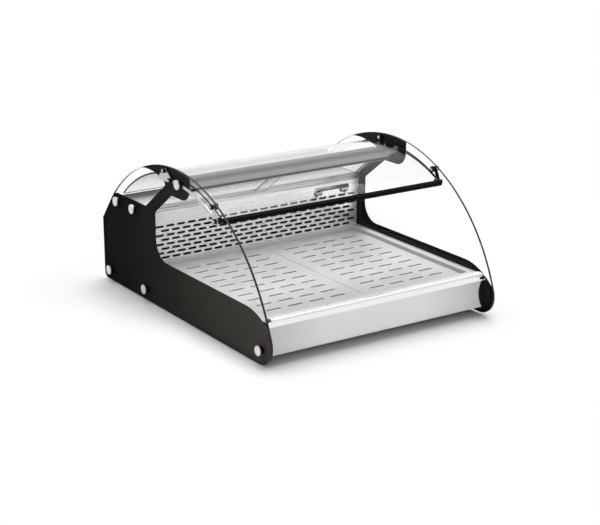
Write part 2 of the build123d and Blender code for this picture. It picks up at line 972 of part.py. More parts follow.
diffuser_depth = slope_depth_at(upper_top, -track_half) + lamp_lip[0] - diffuser_back
diffuser_top = slope_height_at(upper_top, -track_half) + lamp_lip[1]
diffuser_x = lamp_x - diffuser_end_gap
diffuser_inner = diffuser_w / 2 - diffuser_wall
with BuildPart() as led_diffuser:
    with BuildSketch(side(0)):
        add(
            slab(
                diffuser_depth - diffuser_w / 2,
                diffuser_depth + diffuser_w / 2,
                diffuser_top - diffuser_h,
                diffuser_top,
            )
        )
        add(
            slab(
                diffuser_depth - diffuser_inner,
                diffuser_depth + diffuser_inner,
                diffuser_top - diffuser_h + diffuser_wall,
                diffuser_top,
            ),
            mode=Mode.SUBTRACT,
        )
    extrude(amount=diffuser_x, both=True)
save("led_diffuser", led_diffuser.part)

led_pitch = 2 * diffuser_x / led_count
with BuildPart() as led_strip:
    with BuildSketch(level(diffuser_top)):
        with Locations((0, rear_y - diffuser_depth)):
            Rectangle(2 * diffuser_x, led_board_w)
    extrude(amount=-led_board_t)
    with BuildSketch(level(diffuser_top - led_board_t)):
        with Locations((0, rear_y - diffuser_depth)):
            with GridLocations(led_pitch, led_pitch, led_count, 1):
                Rectangle(led_size, led_size)
    extrude(amount=-led_h)
save("led_strip", led_strip.part)

# Header and slotted grille at the back of the well
header_rear = slope(lower_base, track_half)
header_front = slope(lower_base, -track_half)
cover_h = slope_height_at(lower_base, track_half)
cover_front_depth = slope_depth_at(lower_base - sheet_metal, track_half)
header_depth = slope_depth_at(lower_base, -track_half)
grille_depth = header_depth - sheet_metal
partition_rear_depth = grille_depth - partition_back
fan_plate_depth = grille_depth - fan_plate_back
with BuildPart() as back_header:
    with BuildSketch(side(0)):
        add(
            folded(
                sheet_metal,
                Side.RIGHT,
                at(header_depth, header_low_h),
                header_front,
                header_rear,
            )
        )
    extrude(amount=frame_x, both=True)
save("back_header", back_header.part)

with BuildSketch() as slot:
    Rectangle(slot_w, slot_h)
    chamfer(slot.vertices(), slot_corner)
slot_places = []
for row in range(slot_rows):
    stagger = row % 2
    for column in range(slot_columns - stagger):
        slot_x = (column - (slot_columns - 1 - stagger) / 2) * slot_pitch
        slot_places.append((slot_x, lift + slot_first_h - row * slot_row_pitch))
grille_x = frame_x - grille_side_gap
with BuildPart() as back_grille:
    with BuildSketch(upright(grille_depth)):
        with Locations((0, lift + (cold_floor_h + grille_top_h) / 2)):
            Rectangle(2 * grille_x, grille_top_h - cold_floor_h)
        with Locations(*slot_places):
            add(slot.sketch, mode=Mode.SUBTRACT)
    extrude(amount=-sheet_metal)
save("back_grille", back_grille.part)

# Front panel: lip on the tray, bottom return, upright face, bevel and a flange under the rim
with BuildPart() as front_panel:
    with BuildSketch(side(0)):
        add(
            folded(
                sheet_metal,
                Side.RIGHT,
                at(tray_front_depth, face_low_h + panel_lip_h),
                at(tray_front_depth, face_low_h),
                at(face_depth, face_low_h),
                at(face_depth, face_high_h),
                at(face_depth - bevel_back, bevel_high_h),
                at(face_depth - panel_flange_back, bevel_high_h),
            )
        )
    extrude(amount=frame_x, both=True)
save("front_panel", front_panel.part)

rim_top_h = bevel_high_h + 2 * rim_tube_r
rim_leg_depth = face_depth - rim_leg_back
rim_tube_depth = face_depth - rim_tube_back
rim_x = frame_x - rim_end_gap
with BuildPart() as front_rim:
    with BuildSketch(side(0)):
        add(slab(rim_leg_depth, rim_tube_depth, rim_top_h - sheet_metal, rim_top_h))
        add(slab(rim_leg_depth, rim_leg_depth + sheet_metal, bevel_high_h, rim_top_h))
        with Locations(at(rim_tube_depth, rim_top_h - rim_tube_r)):
            Circle(rim_tube_r)
            Circle(rim_tube_bore_r, mode=Mode.SUBTRACT)
    extrude(amount=rim_x, both=True)
save("front_rim", front_rim.part)

# Well: a flange with a short wall, the basin's walls with a ledge for the decks, and its floor
well_rear_depth = header_depth + well_rear_run
well_y = rear_y - well_rear_depth - well_len / 2
drain_depth = well_rear_depth + well_len - drain_back
ledge_h = pan_top_h - deck_drop - deck_t
basin_w = well_w - 2 * ledge_w
basin_len = well_len - 2 * ledge_w
pan_rear_depth = header_depth + ledge_play
pan_front_depth = face_depth - pan_front_back
pan_len = pan_front_depth - pan_rear_depth
pan_y = rear_y - (pan_rear_depth + pan_front_depth) / 2
skin = 2 * sheet_metal
with BuildPart() as well_flange:
    with BuildSketch(level(pan_top_h - sheet_metal)):
        with Locations((0, pan_y)):
            Rectangle(2 * frame_x, pan_len)
    extrude(amount=sheet_metal)
    with BuildSketch(level(ledge_h)):
        with Locations((0, well_y)):
            RectangleRounded(well_w + skin, well_len + skin, well_corner_r + sheet_metal)
    extrude(amount=pan_top_h - ledge_h)
    with BuildSketch(level(ledge_h)):
        with Locations((0, well_y)):
            RectangleRounded(well_w, well_len, well_corner_r)
    extrude(amount=pan_top_h - ledge_h, mode=Mode.SUBTRACT)
save("well_flange", well_flange.part)

with BuildPart() as well_basin:
    with BuildSketch(level(ledge_h - sheet_metal)):
        with Locations((0, well_y)):
            RectangleRounded(well_w + skin, well_len + skin, well_corner_r + sheet_metal)
    extrude(amount=sheet_metal)
    with BuildSketch(level(pan_floor_h)):
        with Locations((0, well_y)):
            RectangleRounded(basin_w + skin, basin_len + skin, well_corner_r + sheet_metal)
    extrude(amount=ledge_h - pan_floor_h)
    with BuildSketch(level(pan_floor_h)):
        with Locations((0, well_y)):
            RectangleRounded(basin_w, basin_len, well_corner_r)
    extrude(amount=ledge_h - pan_floor_h, mode=Mode.SUBTRACT)
save("well_basin", well_basin.part)

with BuildPart() as well_floor:
    with BuildSketch(level(pan_floor_h - sheet_metal)):
        with Locations((0, well_y)):
            RectangleRounded(basin_w + skin, basin_len + skin, well_corner_r + sheet_metal)
        with Locations((drain_x, rear_y - drain_depth)):
            Circle(spout_bore_r, mode=Mode.SUBTRACT)
    extrude(amount=sheet_metal)
save("well_floor", well_floor.part)

# Rib across the basin, under the joint of the decks
with BuildPart() as deck_rib:
    with BuildSketch(Plane.XZ.offset(-well_y)):
        with Locations((0, lift + ledge_h - sheet_metal / 2)):
            Rectangle(rib_w, sheet_metal)
        with Locations((0, lift + ledge_h - rib_h / 2)):
            Rectangle(sheet_metal, rib_h)
    extrude(amount=basin_len / 2, both=True)
save("deck_rib", deck_rib.part)

deck_w = well_w / 2 - 2 * deck_play
deck_len = well_len - 2 * deck_play
with BuildPart() as deck_plates:
    for hand, sign in hands:
        with BuildSketch(level(ledge_h)):
            with Locations((sign * well_w / 4, well_y)):
                RectangleRounded(deck_w, deck_len, well_corner_r)
                with GridLocations(deck_slot_pitch_x, deck_slot_pitch_y, deck_columns, deck_rows):
                    Rectangle(deck_slot_w, deck_slot_h, mode=Mode.SUBTRACT)
        extrude(amount=deck_t)
save("deck_plates", deck_plates.part)

# Drain spout under the pan
with BuildPart() as drain_spout:
    with BuildSketch(Plane.XY.offset(spout_tip_z)):
        with Locations((drain_x, rear_y - drain_depth)):
            Circle(spout_tip_r)
    extrude(amount=lift + tray_h - spout_tip_z)
    with BuildSketch(level(tray_h)):
        with Locations((drain_x, rear_y - drain_depth)):
            Circle(spout_r)
    extrude(amount=pan_floor_h - sheet_metal - tray_h)
    with BuildSketch(level(pan_floor_h - sheet_metal)):
        with Locations((drain_x, rear_y - drain_depth)):
            Circle(spout_flange_r)
    extrude(amount=-spout_flange_t)
    with BuildSketch(Plane.XY.offset(spout_tip_z)):
        with Locations((drain_x, rear_y - drain_depth)):
            Circle(spout_bore_r)
    extrude(amount=lift + pan_floor_h - spout_tip_z, mode=Mode.SUBTRACT)
save("drain_spout", drain_spout.part)

# Base tray and feet
tray_len = tray_front_depth - tray_rear_depth
tray_y = rear_y - (tray_rear_depth + tray_front_depth) / 2
with BuildPart() as base_tray:
    with BuildSketch(level(tray_h)):
        with Locations((0, tray_y)):
            Rectangle(2 * frame_x, tray_len)
    extrude(amount=tray_wall)
    with BuildSketch(level(tray_h + tray_t)):
        with Locations((0, tray_y)):
            Rectangle(2 * (frame_x - sheet_metal), tray_len - skin)
    extrude(amount=tray_wall, mode=Mode.SUBTRACT)
    with BuildSketch(level(tray_h)):
        with Locations((drain_x, rear_y - drain_depth)):
            Circle(spout_r + drain_play)
    extrude(amount=tray_t, mode=Mode.SUBTRACT)
save("base_tray", base_tray.part)

foot_front_depth = tray_front_depth - foot_front_back
foot_places = [
    (-foot_x, rear_y - foot_rear_depth),
    (foot_x, rear_y - foot_rear_depth),
    (-foot_x, rear_y - foot_front_depth),
    (foot_x, rear_y - foot_front_depth),
]
with BuildPart() as feet:
    for place in foot_places:
        with BuildSketch(Plane.XY):
            with Locations(place):
                Circle(foot_base_r)
        with BuildSketch(level(tray_h)):
            with Locations(place):
                Circle(foot_r)
        loft()
save("feet", feet.part)

# Insulation around the pan, lower behind the grille where the cold air is drawn
partition_front_depth = partition_rear_depth + partition_t
foam_front_depth = tray_front_depth - sheet_metal - foam_front_gap
foam_x = frame_x - sheet_metal - foam_side_gap
foam_y = rear_y - (partition_front_depth + foam_front_depth) / 2
foam_top = pan_top_h - sheet_metal
foam_skin = skin + 2 * foam_play
with BuildPart() as insulation_tub:
    with BuildSketch(Plane.XY.offset(floor_z)):
        with Locations((0, foam_y)):
            Rectangle(2 * foam_x, foam_front_depth - partition_front_depth)
    extrude(amount=lift + foam_top - floor_z)
    with BuildSketch(side(0)):
        add(slab(partition_front_depth, grille_depth, cold_floor_h, pan_top_h))
    extrude(amount=pane_gap, both=True, mode=Mode.SUBTRACT)
    with BuildSketch(level(ledge_h - sheet_metal - foam_play)):
        with Locations((0, well_y)):
            RectangleRounded(well_w + foam_skin, well_len + foam_skin, well_corner_r + sheet_metal)
    extrude(amount=pan_top_h, mode=Mode.SUBTRACT)
    with BuildSketch(level(pan_floor_h - sheet_metal)):
        with Locations((0, well_y)):
            RectangleRounded(basin_w + foam_skin, basin_len + foam_skin, well_corner_r + sheet_metal)
    extrude(amount=pan_top_h, mode=Mode.SUBTRACT)
    with BuildSketch(Plane.XY.offset(floor_z)):
        with Locations((drain_x, rear_y - drain_depth)):
            Circle(spout_r + drain_play)
    extrude(amount=pan_top_h, mode=Mode.SUBTRACT)
    with BuildSketch(level(pan_floor_h - sheet_metal - spout_flange_t)):
        with Locations((drain_x, rear_y - drain_depth)):
            Circle(spout_flange_r + drain_play)
    extrude(amount=spout_flange_t, mode=Mode.SUBTRACT)
save("insulation_tub", insulation_tub.part)

# Machine housing: cover with a sloping rear, controls let into the slope
cover_drop = cover_h - cover_rear_h
cover_run = cover_rear_depth - tray_rear_depth
cover_turn = math.atan2(cover_drop, cover_run)
control_y, control_z = at((cover_rear_depth + tray_rear_depth) / 2, (cover_h + cover_rear_h) / 2)


def control_plane(x, height=0.0):
    """Plane on the rear slope at a given x, a height outward from the cover's face."""
    out = (0, math.sin(cover_turn), math.cos(cover_turn))
    face = Plane(origin=(x, control_y, control_z), x_dir=(-1, 0, 0), z_dir=out)
    return face.offset(height)


switch_places = (("power", power_x), ("light", light_x))
with BuildPart() as housing_cover:
    with BuildSketch(side(0)):
        add(
            folded(
                sheet_metal,
                Side.RIGHT,
                at(cover_front_depth, cover_h),
                at(cover_rear_depth, cover_h),
                at(tray_rear_depth, cover_rear_h),
                at(tray_rear_depth, cover_flange_h),
            )
        )
    extrude(amount=frame_x, both=True)
    with BuildSketch(control_plane(thermostat_x)):
        Rectangle(body_w + cutout_play, body_h + cutout_play)
    extrude(amount=2 * sheet_metal, both=True, mode=Mode.SUBTRACT)
    for name, place in switch_places:
        with BuildSketch(control_plane(place)):
            Rectangle(switch_body_w + cutout_play, switch_body_len + cutout_play)
        extrude(amount=2 * sheet_metal, both=True, mode=Mode.SUBTRACT)
save("housing_cover", housing_cover.part)

screw_low_h = service_low_h + screw_h_inset
screw_high_h = service_top_h - screw_h_inset
screw_places = [
    (-screw_x, lift + screw_low_h),
    (0, lift + screw_low_h),
    (screw_x, lift + screw_low_h),
    (-screw_x, lift + screw_high_h),
    (0, lift + screw_high_h),
    (screw_x, lift + screw_high_h),
]
service_depth = tray_rear_depth - service_t
service_h = service_top_h - service_low_h
with BuildPart() as service_panel:
    with BuildSketch(upright(service_depth)):
        with Locations((0, lift + service_low_h + service_h / 2)):
            Rectangle(2 * (frame_x - service_side_gap), service_h)
        with Locations((louvre_x, lift + louvre_h_mid)):
            with GridLocations(louvre_pitch_x, louvre_pitch_z, louvre_columns, louvre_rows):
                Rectangle(louvre_w, louvre_h, mode=Mode.SUBTRACT)
        with Locations((-louvre_x - louvre_pitch_x, lift + louvre_h_mid)):
            with GridLocations(louvre_pitch_x, louvre_pitch_z, louvre_columns, louvre_rows):
                Rectangle(louvre_w, louvre_h, mode=Mode.SUBTRACT)
        with Locations((inlet_x, lift + inlet_h)):
            Rectangle(inlet_body_w + cutout_play, inlet_body_h + cutout_play, mode=Mode.SUBTRACT)
        with Locations(*screw_places):
            Circle(screw_r + hole_play, mode=Mode.SUBTRACT)
    extrude(amount=service_t)
save("service_panel", service_panel.part)

with BuildPart() as service_screws:
    with BuildSketch(upright(service_depth)):
        with Locations(*screw_places):
            Circle(screw_head_r)
    extrude(amount=-screw_head_t)
    with BuildSketch(upright(service_depth)):
        with Locations(*screw_places):
            Circle(screw_r)
    extrude(amount=service_t)
save("service_screws", service_screws.part)

# Partition between the machine space and the cold space
liquid_h = drier_high_h + drier_neck_len + 2 * pipe_bend_r
suction_h = (coil_low_h + coil_high_h) / 2
with BuildPart() as partition:
    with BuildSketch(upright(partition_rear_depth)):
        with Locations((0, (floor_z + lift + cover_h - sheet_metal) / 2)):
            Rectangle(2 * foam_x, lift + cover_h - sheet_metal - floor_z)
        with Locations((drier_x, lift + liquid_h), (compressor_x, lift + suction_h)):
            Circle(pipe_r + pipe_play, mode=Mode.SUBTRACT)
    extrude(amount=partition_t)
save("partition", partition.part)


def finned_block(width, thickness, core, mid_depth):
    """Plan outline of a finned coil: a core with evenly spaced plate fins."""
    count = int(width / fin_pitch)
    with BuildSketch() as face:
        with Locations((0, rear_y - mid_depth)):
            Rectangle(width, core)
            with GridLocations(fin_pitch, fin_pitch, count, 1):
                Rectangle(fin_t, thickness)
    return face.sketch


with BuildPart() as evaporator_coil:
    with BuildSketch(level(coil_low_h)):
        add(finned_block(coil_w, coil_t, coil_core_t, partition_front_depth + coil_t / 2))
    extrude(amount=coil_high_h - coil_low_h)
save("evaporator_coil", evaporator_coil.part)


pitch_turn = math.radians(blade_pitch_deg)


def fan_rotor(x, height, depth, radius, hub, thickness):
    """Axial fan rotor with pitched blades, its axis fore and aft."""
    with BuildPart() as rotor:
        with BuildSketch(upright(depth)):
            with Locations((x, lift + height)):
                Circle(hub)
        extrude(amount=thickness)
        for number in range(blade_count):
            turn = math.tau * number / blade_count
            outward = Vector(math.cos(turn), 0, math.sin(turn))
            sideways = Vector(-math.sin(turn), 0, math.cos(turn))
            chord = sideways * math.cos(pitch_turn) + Vector(0, 1, 0) * math.sin(pitch_turn)
            middle = (x, rear_y - depth - thickness / 2, lift + height)
            root = Plane(origin=middle, x_dir=chord, z_dir=outward)
            with BuildSketch(root.offset(hub - blade_t)):
                Rectangle(blade_w, blade_t)
            extrude(amount=radius - hub)
        with BuildSketch(upright(depth)):
            with Locations((x, lift + height)):
                Circle(fan_shaft_r + close_fit)
        extrude(amount=thickness, mode=Mode.SUBTRACT)
    return rotor.part


# Evaporator fans: a plate with a ring, a motor on struts and a rotor at each hole
cold_fans = [(-cold_fan_x, lift + cold_fan_h), (cold_fan_x, lift + cold_fan_h)]
cold_ring_r = cold_fan_r + fan_tip_gap
plate_front_depth = fan_plate_depth + fan_plate_t
cold_rotor_depth = plate_front_depth + fan_stand_off
with BuildPart() as evaporator_fan_plate:
    with BuildSketch(upright(fan_plate_depth)):
        with Locations((0, lift + (cold_floor_h + fan_plate_top_h) / 2)):
            Rectangle(2 * foam_x, fan_plate_top_h - cold_floor_h)
        with Locations(*cold_fans):
            Circle(cold_ring_r, mode=Mode.SUBTRACT)
    extrude(amount=fan_plate_t)
    with BuildSketch(upright(fan_plate_depth)):
        with Locations(*cold_fans):
            Circle(cold_ring_r + fan_ring_t)
            Circle(cold_ring_r, mode=Mode.SUBTRACT)
    extrude(amount=fan_plate_t + fan_stand_off + cold_fan_t)
    with BuildSketch(upright(fan_plate_depth)):
        with Locations(*cold_fans):
            Circle(cold_hub_r)
            Rectangle(2 * cold_ring_r + fan_ring_t, strut_w)
    extrude(amount=-strut_t)
    with BuildSketch(upright(fan_plate_depth)):
        with Locations(*cold_fans):
            Circle(cold_hub_r)
    extrude(amount=-cold_motor_len)
    with BuildSketch(upright(fan_plate_depth - strut_t)):
        with Locations(*cold_fans):
            Circle(fan_shaft_r)
    extrude(amount=strut_t + fan_plate_t + fan_stand_off + cold_fan_t / 2)
save("evaporator_fan_plate", evaporator_fan_plate.part)

for hand, sign in hands:
    rotor_part = fan_rotor(
        sign * cold_fan_x,
        cold_fan_h,
        cold_rotor_depth,
        cold_fan_r,
        cold_hub_r,
        cold_fan_t,
    )
    save(f"evaporator_fan_{hand}", rotor_part)

# Condenser: finned coil, fan shroud with the motor on struts, and the rotor
condenser_front_depth = condenser_rear_depth + condenser_t
tray_top_h = tray_h + tray_t
with BuildPart() as condenser_coil:
    with BuildSketch(Plane.XY.offset(floor_z).shift_origin((condenser_x, 0, floor_z))):
        add(finned_block(condenser_w, condenser_t, condenser_core_t, condenser_rear_depth + condenser_t / 2))
    extrude(amount=condenser_high_h - tray_top_h)
save("condenser_coil", condenser_coil.part)

hot_fan = (condenser_x, lift + hot_fan_h)
hot_ring_r = hot_fan_r + fan_tip_gap
hot_rotor_depth = condenser_front_depth + shroud_t + fan_stand_off
hot_motor_depth = hot_rotor_depth + hot_fan_t + fan_stand_off
with BuildPart() as condenser_fan_shroud:
    with BuildSketch(upright(condenser_front_depth)):
        with Locations((condenser_x, (floor_z + lift + condenser_high_h) / 2)):
            Rectangle(condenser_w, lift + condenser_high_h - floor_z)
        with Locations(hot_fan):
            Circle(hot_ring_r, mode=Mode.SUBTRACT)
    extrude(amount=shroud_t)
    with BuildSketch(upright(condenser_front_depth)):
        with Locations(hot_fan):
            Circle(hot_ring_r + fan_ring_t)
            Circle(hot_ring_r, mode=Mode.SUBTRACT)
    extrude(amount=hot_motor_depth + strut_t - condenser_front_depth)
    with BuildSketch(upright(hot_motor_depth)):
        with Locations(hot_fan):
            Circle(hot_hub_r)
            Rectangle(2 * hot_ring_r + fan_ring_t, strut_w)
            Rectangle(strut_w, 2 * hot_ring_r + fan_ring_t)
    extrude(amount=strut_t)
    with BuildSketch(upright(hot_motor_depth)):
        with Locations(hot_fan):
            Circle(hot_hub_r)
    extrude(amount=hot_motor_len)
    with BuildSketch(upright(hot_motor_depth)):
        with Locations(hot_fan):
            Circle(fan_shaft_r)
    extrude(amount=-fan_stand_off - hot_fan_t / 2)
save("condenser_fan_shroud", condenser_fan_shroud.part)

hot_rotor = fan_rotor(condenser_x, hot_fan_h, hot_rotor_depth, hot_fan_r, hot_hub_r, hot_fan_t)
save("condenser_fan", hot_rotor)

# Compressor on a plate with four rubber feet
compressor_y = rear_y - (tray_rear_depth + sheet_metal + partition_rear_depth) / 2
plate_z = floor_z + compressor_foot_h
with BuildPart() as compressor:
    with BuildSketch(Plane.XY.offset(plate_z)):
        with Locations((compressor_x, compressor_y)):
            Circle(compressor_r)
    extrude(amount=compressor_h)
    shell_edges = compressor.edges().filter_by(GeomType.CIRCLE)
    fillet(shell_edges.group_by(Axis.Z)[-1], compressor_dome_r)
    with BuildSketch(Plane.XY.offset(plate_z)):
        with Locations((compressor_x, compressor_y)):
            Rectangle(compressor_plate_w, compressor_plate_w)
    extrude(amount=compressor_plate_t)
    with BuildSketch(Plane.XY.offset(floor_z)):
        with Locations((compressor_x, compressor_y)):
            with GridLocations(compressor_foot_pitch, compressor_foot_pitch, 2, 2):
                Circle(compressor_foot_r)
    extrude(amount=compressor_foot_h)
save("compressor", compressor.part)

# Filter drier and pipes
with BuildPart() as filter_drier:
    with BuildSketch(level(drier_low_h)):
        with Locations((drier_x, rear_y - drier_depth)):
            Circle(drier_r)
    extrude(amount=drier_high_h - drier_low_h)
    chamfer(filter_drier.edges().filter_by(GeomType.CIRCLE), drier_r - drier_neck_r)
    for neck_h, reach in ((drier_low_h, -drier_neck_len), (drier_high_h, drier_neck_len)):
        with BuildSketch(level(neck_h)):
            with Locations((drier_x, rear_y - drier_depth)):
                Circle(drier_neck_r)
        extrude(amount=reach)
save("filter_drier", filter_drier.part)

condenser_left_x = condenser_x - condenser_w / 2
condenser_y = rear_y - condenser_rear_depth - condenser_t / 2
compressor_side_x = compressor_x + compressor_r
shell_mid_z = plate_z + compressor_h / 2
drier_y = rear_y - drier_depth
drier_top_z = lift + drier_high_h + drier_neck_len
drier_foot_z = lift + drier_low_h - drier_neck_len
coil_y = rear_y - partition_front_depth
pipe_runs = [
    [
        (compressor_side_x, compressor_y, shell_mid_z),
        ((compressor_side_x + drier_x) / 2, compressor_y, shell_mid_z),
        ((compressor_side_x + drier_x) / 2, condenser_y, shell_mid_z),
        (condenser_left_x, condenser_y, shell_mid_z),
    ],
    [
        (condenser_left_x, condenser_y, floor_z + pipe_bend_r),
        (drier_x, condenser_y, floor_z + pipe_bend_r),
        (drier_x, drier_y, floor_z + pipe_bend_r),
        (drier_x, drier_y, drier_foot_z),
    ],
    [
        (drier_x, drier_y, drier_top_z),
        (drier_x, drier_y, lift + liquid_h),
        (drier_x, coil_y, lift + liquid_h),
    ],
    [
        (compressor_x, coil_y, lift + suction_h),
        (compressor_x, compressor_y - compressor_r, lift + suction_h),
    ],
]
with BuildPart() as refrigerant_pipes:
    for run in pipe_runs:
        with BuildLine() as pipe_path:
            if len(run) > 2:
                FilletPolyline(*run, radius=pipe_bend_r)
            else:
                Line(*run)
        with BuildSketch(Plane(origin=pipe_path.line @ 0, z_dir=pipe_path.line % 0)):
            Circle(pipe_r)
        sweep(path=pipe_path.line)
save("refrigerant_pipes", refrigerant_pipes.part)

with BuildPart() as electrical_box:
    with BuildSketch(Plane.XY.offset(floor_z)):
        with Locations((box_x, rear_y - box_rear_depth - box_len / 2)):
            Rectangle(box_w, box_len)
    extrude(amount=box_h)
    fillet(electrical_box.edges().filter_by(Axis.Z), box_edge_r)
save("electrical_box", electrical_box.part)

# Thermostat with three keys
key_xs = [key_first_x + number * key_pitch for number in range(3)]
with BuildPart() as thermostat_body:
    with BuildSketch(control_plane(thermostat_x)):
        RectangleRounded(bezel_w, bezel_h, bezel_t)
    extrude(amount=bezel_t)
    with BuildSketch(control_plane(thermostat_x)):
        Rectangle(body_w, body_h)
    extrude(amount=-body_len)
    with BuildSketch(control_plane(thermostat_x, bezel_t)):
        with Locations((display_x, 0)):
            Rectangle(display_w, display_h)
    extrude(amount=-display_recess, mode=Mode.SUBTRACT)
    with BuildSketch(control_plane(thermostat_x, bezel_t)):
        for key_x in key_xs:
            with Locations((key_x, 0)):
                Rectangle(key_w + 2 * key_play, key_w + 2 * key_play)
    extrude(amount=-key_pocket, mode=Mode.SUBTRACT)
save("thermostat_body", thermostat_body.part)

key_foot = bezel_t - key_pocket + key_travel + key_spare
for name, key_x in zip(("set", "up", "down"), key_xs):
    with BuildPart() as thermostat_key:
        with BuildSketch(control_plane(thermostat_x, key_foot)):
            with Locations((key_x, 0)):
                Rectangle(key_w, key_w)
        extrude(amount=bezel_t + key_proud - key_foot)
    save(f"thermostat_key_{name}", thermostat_key.part)

# Rocker switches: frames in the slope, rockers on trunnions
room_w = rocker_w + 2 * rocker_play
room_len = rocker_len + 2 * rocker_end_play
pivot_h = switch_bezel_t - rocker_pivot_drop - rocker_dip
tilt_turn = math.radians(rocker_tilt_deg)
with BuildPart() as switch_frames:
    for name, place in switch_places:
        with BuildSketch(control_plane(place)):
            Rectangle(switch_w, switch_len)
        extrude(amount=switch_bezel_t)
        with BuildSketch(control_plane(place)):
            Rectangle(switch_body_w, switch_body_len)
        extrude(amount=-switch_body_h)
        with BuildSketch(control_plane(place, switch_bezel_t)):
            Rectangle(room_w, room_len)
        extrude(amount=-rocker_room - switch_bezel_t, mode=Mode.SUBTRACT)
        pivot = control_plane(place, pivot_h)
        with BuildSketch(Plane(origin=pivot.origin, x_dir=pivot.y_dir, z_dir=pivot.x_dir)):
            Circle(trunnion_r + trunnion_gap)
        extrude(amount=rocker_w / 2 + trunnion_len + rocker_play, both=True, mode=Mode.SUBTRACT)
save("switch_frames", switch_frames.part)

for name, place in switch_places:
    pivot = control_plane(place, pivot_h)
    across = Plane(origin=pivot.origin, x_dir=pivot.y_dir, z_dir=pivot.x_dir)
    tilted_dir = pivot.y_dir * math.cos(tilt_turn) + pivot.z_dir * math.sin(tilt_turn)
    with BuildPart() as rocker:
        with BuildSketch(Plane(origin=pivot.origin, x_dir=tilted_dir, z_dir=pivot.x_dir)):
            with BuildLine():
                Polyline(
                    (-rocker_len / 2, -rocker_skirt),
                    (-rocker_len / 2, rocker_rise),
                    (0, rocker_dip),
                    (rocker_len / 2, rocker_rise),
                    (rocker_len / 2, -rocker_skirt),
                    (0, -rocker_keel),
                    close=True,
                )
            make_face()
        extrude(amount=rocker_w / 2, both=True)
        with BuildSketch(across):
            Circle(trunnion_r)
        extrude(amount=rocker_w / 2 + trunnion_len, both=True)
    save(f"{name}_rocker", rocker.part)

# Mains inlet: flanged socket with three blades, let into the service panel
with BuildPart() as mains_inlet:
    with BuildSketch(upright(service_depth)):
        with Locations((inlet_x, lift + inlet_h)):
            Rectangle(inlet_flange_w, inlet_flange_h)
    extrude(amount=-inlet_flange_t)
    with BuildSketch(upright(service_depth)):
        with Locations((inlet_x, lift + inlet_h)):
            Rectangle(inlet_body_w, inlet_body_h)
    extrude(amount=inlet_body_len)
    with BuildSketch(upright(service_depth - inlet_flange_t)):
        with Locations((inlet_x, lift + inlet_h)):
            Rectangle(inlet_recess_w, inlet_recess_h)
    extrude(amount=inlet_recess, mode=Mode.SUBTRACT)
    with BuildSketch(upright(service_depth - inlet_flange_t + inlet_recess)):
        with Locations((inlet_x, lift + inlet_h)):
            with GridLocations(inlet_blade_pitch, inlet_blade_pitch, 3, 1):
                Rectangle(inlet_blade_w, inlet_blade_h)
    extrude(amount=-inlet_blade_len)
save("mains_inlet", mains_inlet.part)
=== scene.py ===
"""Looks for the countertop refrigerated display case, in metres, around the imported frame."""

import json
import math

import bmesh
import bpy
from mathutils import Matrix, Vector

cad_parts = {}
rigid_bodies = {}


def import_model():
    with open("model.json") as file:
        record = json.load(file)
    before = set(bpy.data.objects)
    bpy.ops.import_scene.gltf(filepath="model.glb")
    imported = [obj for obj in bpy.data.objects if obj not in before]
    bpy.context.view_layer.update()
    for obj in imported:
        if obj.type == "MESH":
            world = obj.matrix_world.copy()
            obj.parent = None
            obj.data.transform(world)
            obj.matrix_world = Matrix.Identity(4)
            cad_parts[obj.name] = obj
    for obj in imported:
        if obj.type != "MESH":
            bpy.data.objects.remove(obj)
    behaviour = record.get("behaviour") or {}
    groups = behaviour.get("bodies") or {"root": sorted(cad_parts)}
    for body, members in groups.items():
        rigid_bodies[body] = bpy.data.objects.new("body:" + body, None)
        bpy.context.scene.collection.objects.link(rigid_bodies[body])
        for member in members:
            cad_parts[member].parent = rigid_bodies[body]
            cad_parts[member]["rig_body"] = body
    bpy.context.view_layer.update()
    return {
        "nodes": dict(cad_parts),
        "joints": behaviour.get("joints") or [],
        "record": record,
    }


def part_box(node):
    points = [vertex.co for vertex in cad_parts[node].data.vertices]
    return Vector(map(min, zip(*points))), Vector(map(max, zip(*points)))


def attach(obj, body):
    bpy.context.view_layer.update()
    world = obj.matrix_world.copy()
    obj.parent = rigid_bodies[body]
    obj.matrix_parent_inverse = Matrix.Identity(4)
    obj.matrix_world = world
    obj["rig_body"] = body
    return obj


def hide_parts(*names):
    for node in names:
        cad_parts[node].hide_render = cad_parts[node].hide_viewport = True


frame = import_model()
nodes = frame["nodes"]
scene = bpy.context.scene
slots = {row["node"]: row["material_slot"] for row in frame["record"]["subparts"]}
joints = {joint["name"]: joint for joint in frame["joints"]}
shield_axis = Vector(joints["shield_slide"]["pos_m"])

# Camera at the photograph's viewing angle
CAMERA_PLACE = (-2.26219, -3.4513, 1.4170)
CAMERA_DOWN = 17.68
CAMERA_TURN = -33.549
CAMERA_LENS = 92.87
SENSOR_WIDTH = 36.0

# Floor, surroundings and lamp
FLOOR_HALF = 20.0
FLOOR_ALBEDO = 0.92
FLOOR_ROUGHNESS = 0.9
FLOOR_LIFT = 0.22
# Reach and samples of the painted contact shadow in the floor's lift
CONTACT_SHADOW_REACH = 0.35
CONTACT_SHADOW_SAMPLES = 4
WORLD_LEVEL = 0.34
SUN_LEVEL = 1.7
SUN_SPREAD = 50.0
SUN_FROM = (0.20, 0.25, 1.0)

# Grain of the finishes, in cycles per metre
BRUSH_X = (9.0, 700.0, 700.0)
FINE = (900.0, 900.0, 900.0)
SPANGLE = (60.0, 60.0, 60.0)
CLOUDS = (7.0, 30.0, 30.0)
BEADS = (90.0, 8.0, 8.0)
SMEARS = (14.0, 14.0, 30.0)
GRIND = (500.0, 500.0, 500.0)
NOISE_DETAIL = 3.0
NOISE_ROUGHNESS = 0.5
NOISE_SPAN = (0.3, 0.7)
FULL_SPAN = (0.0, 1.0)

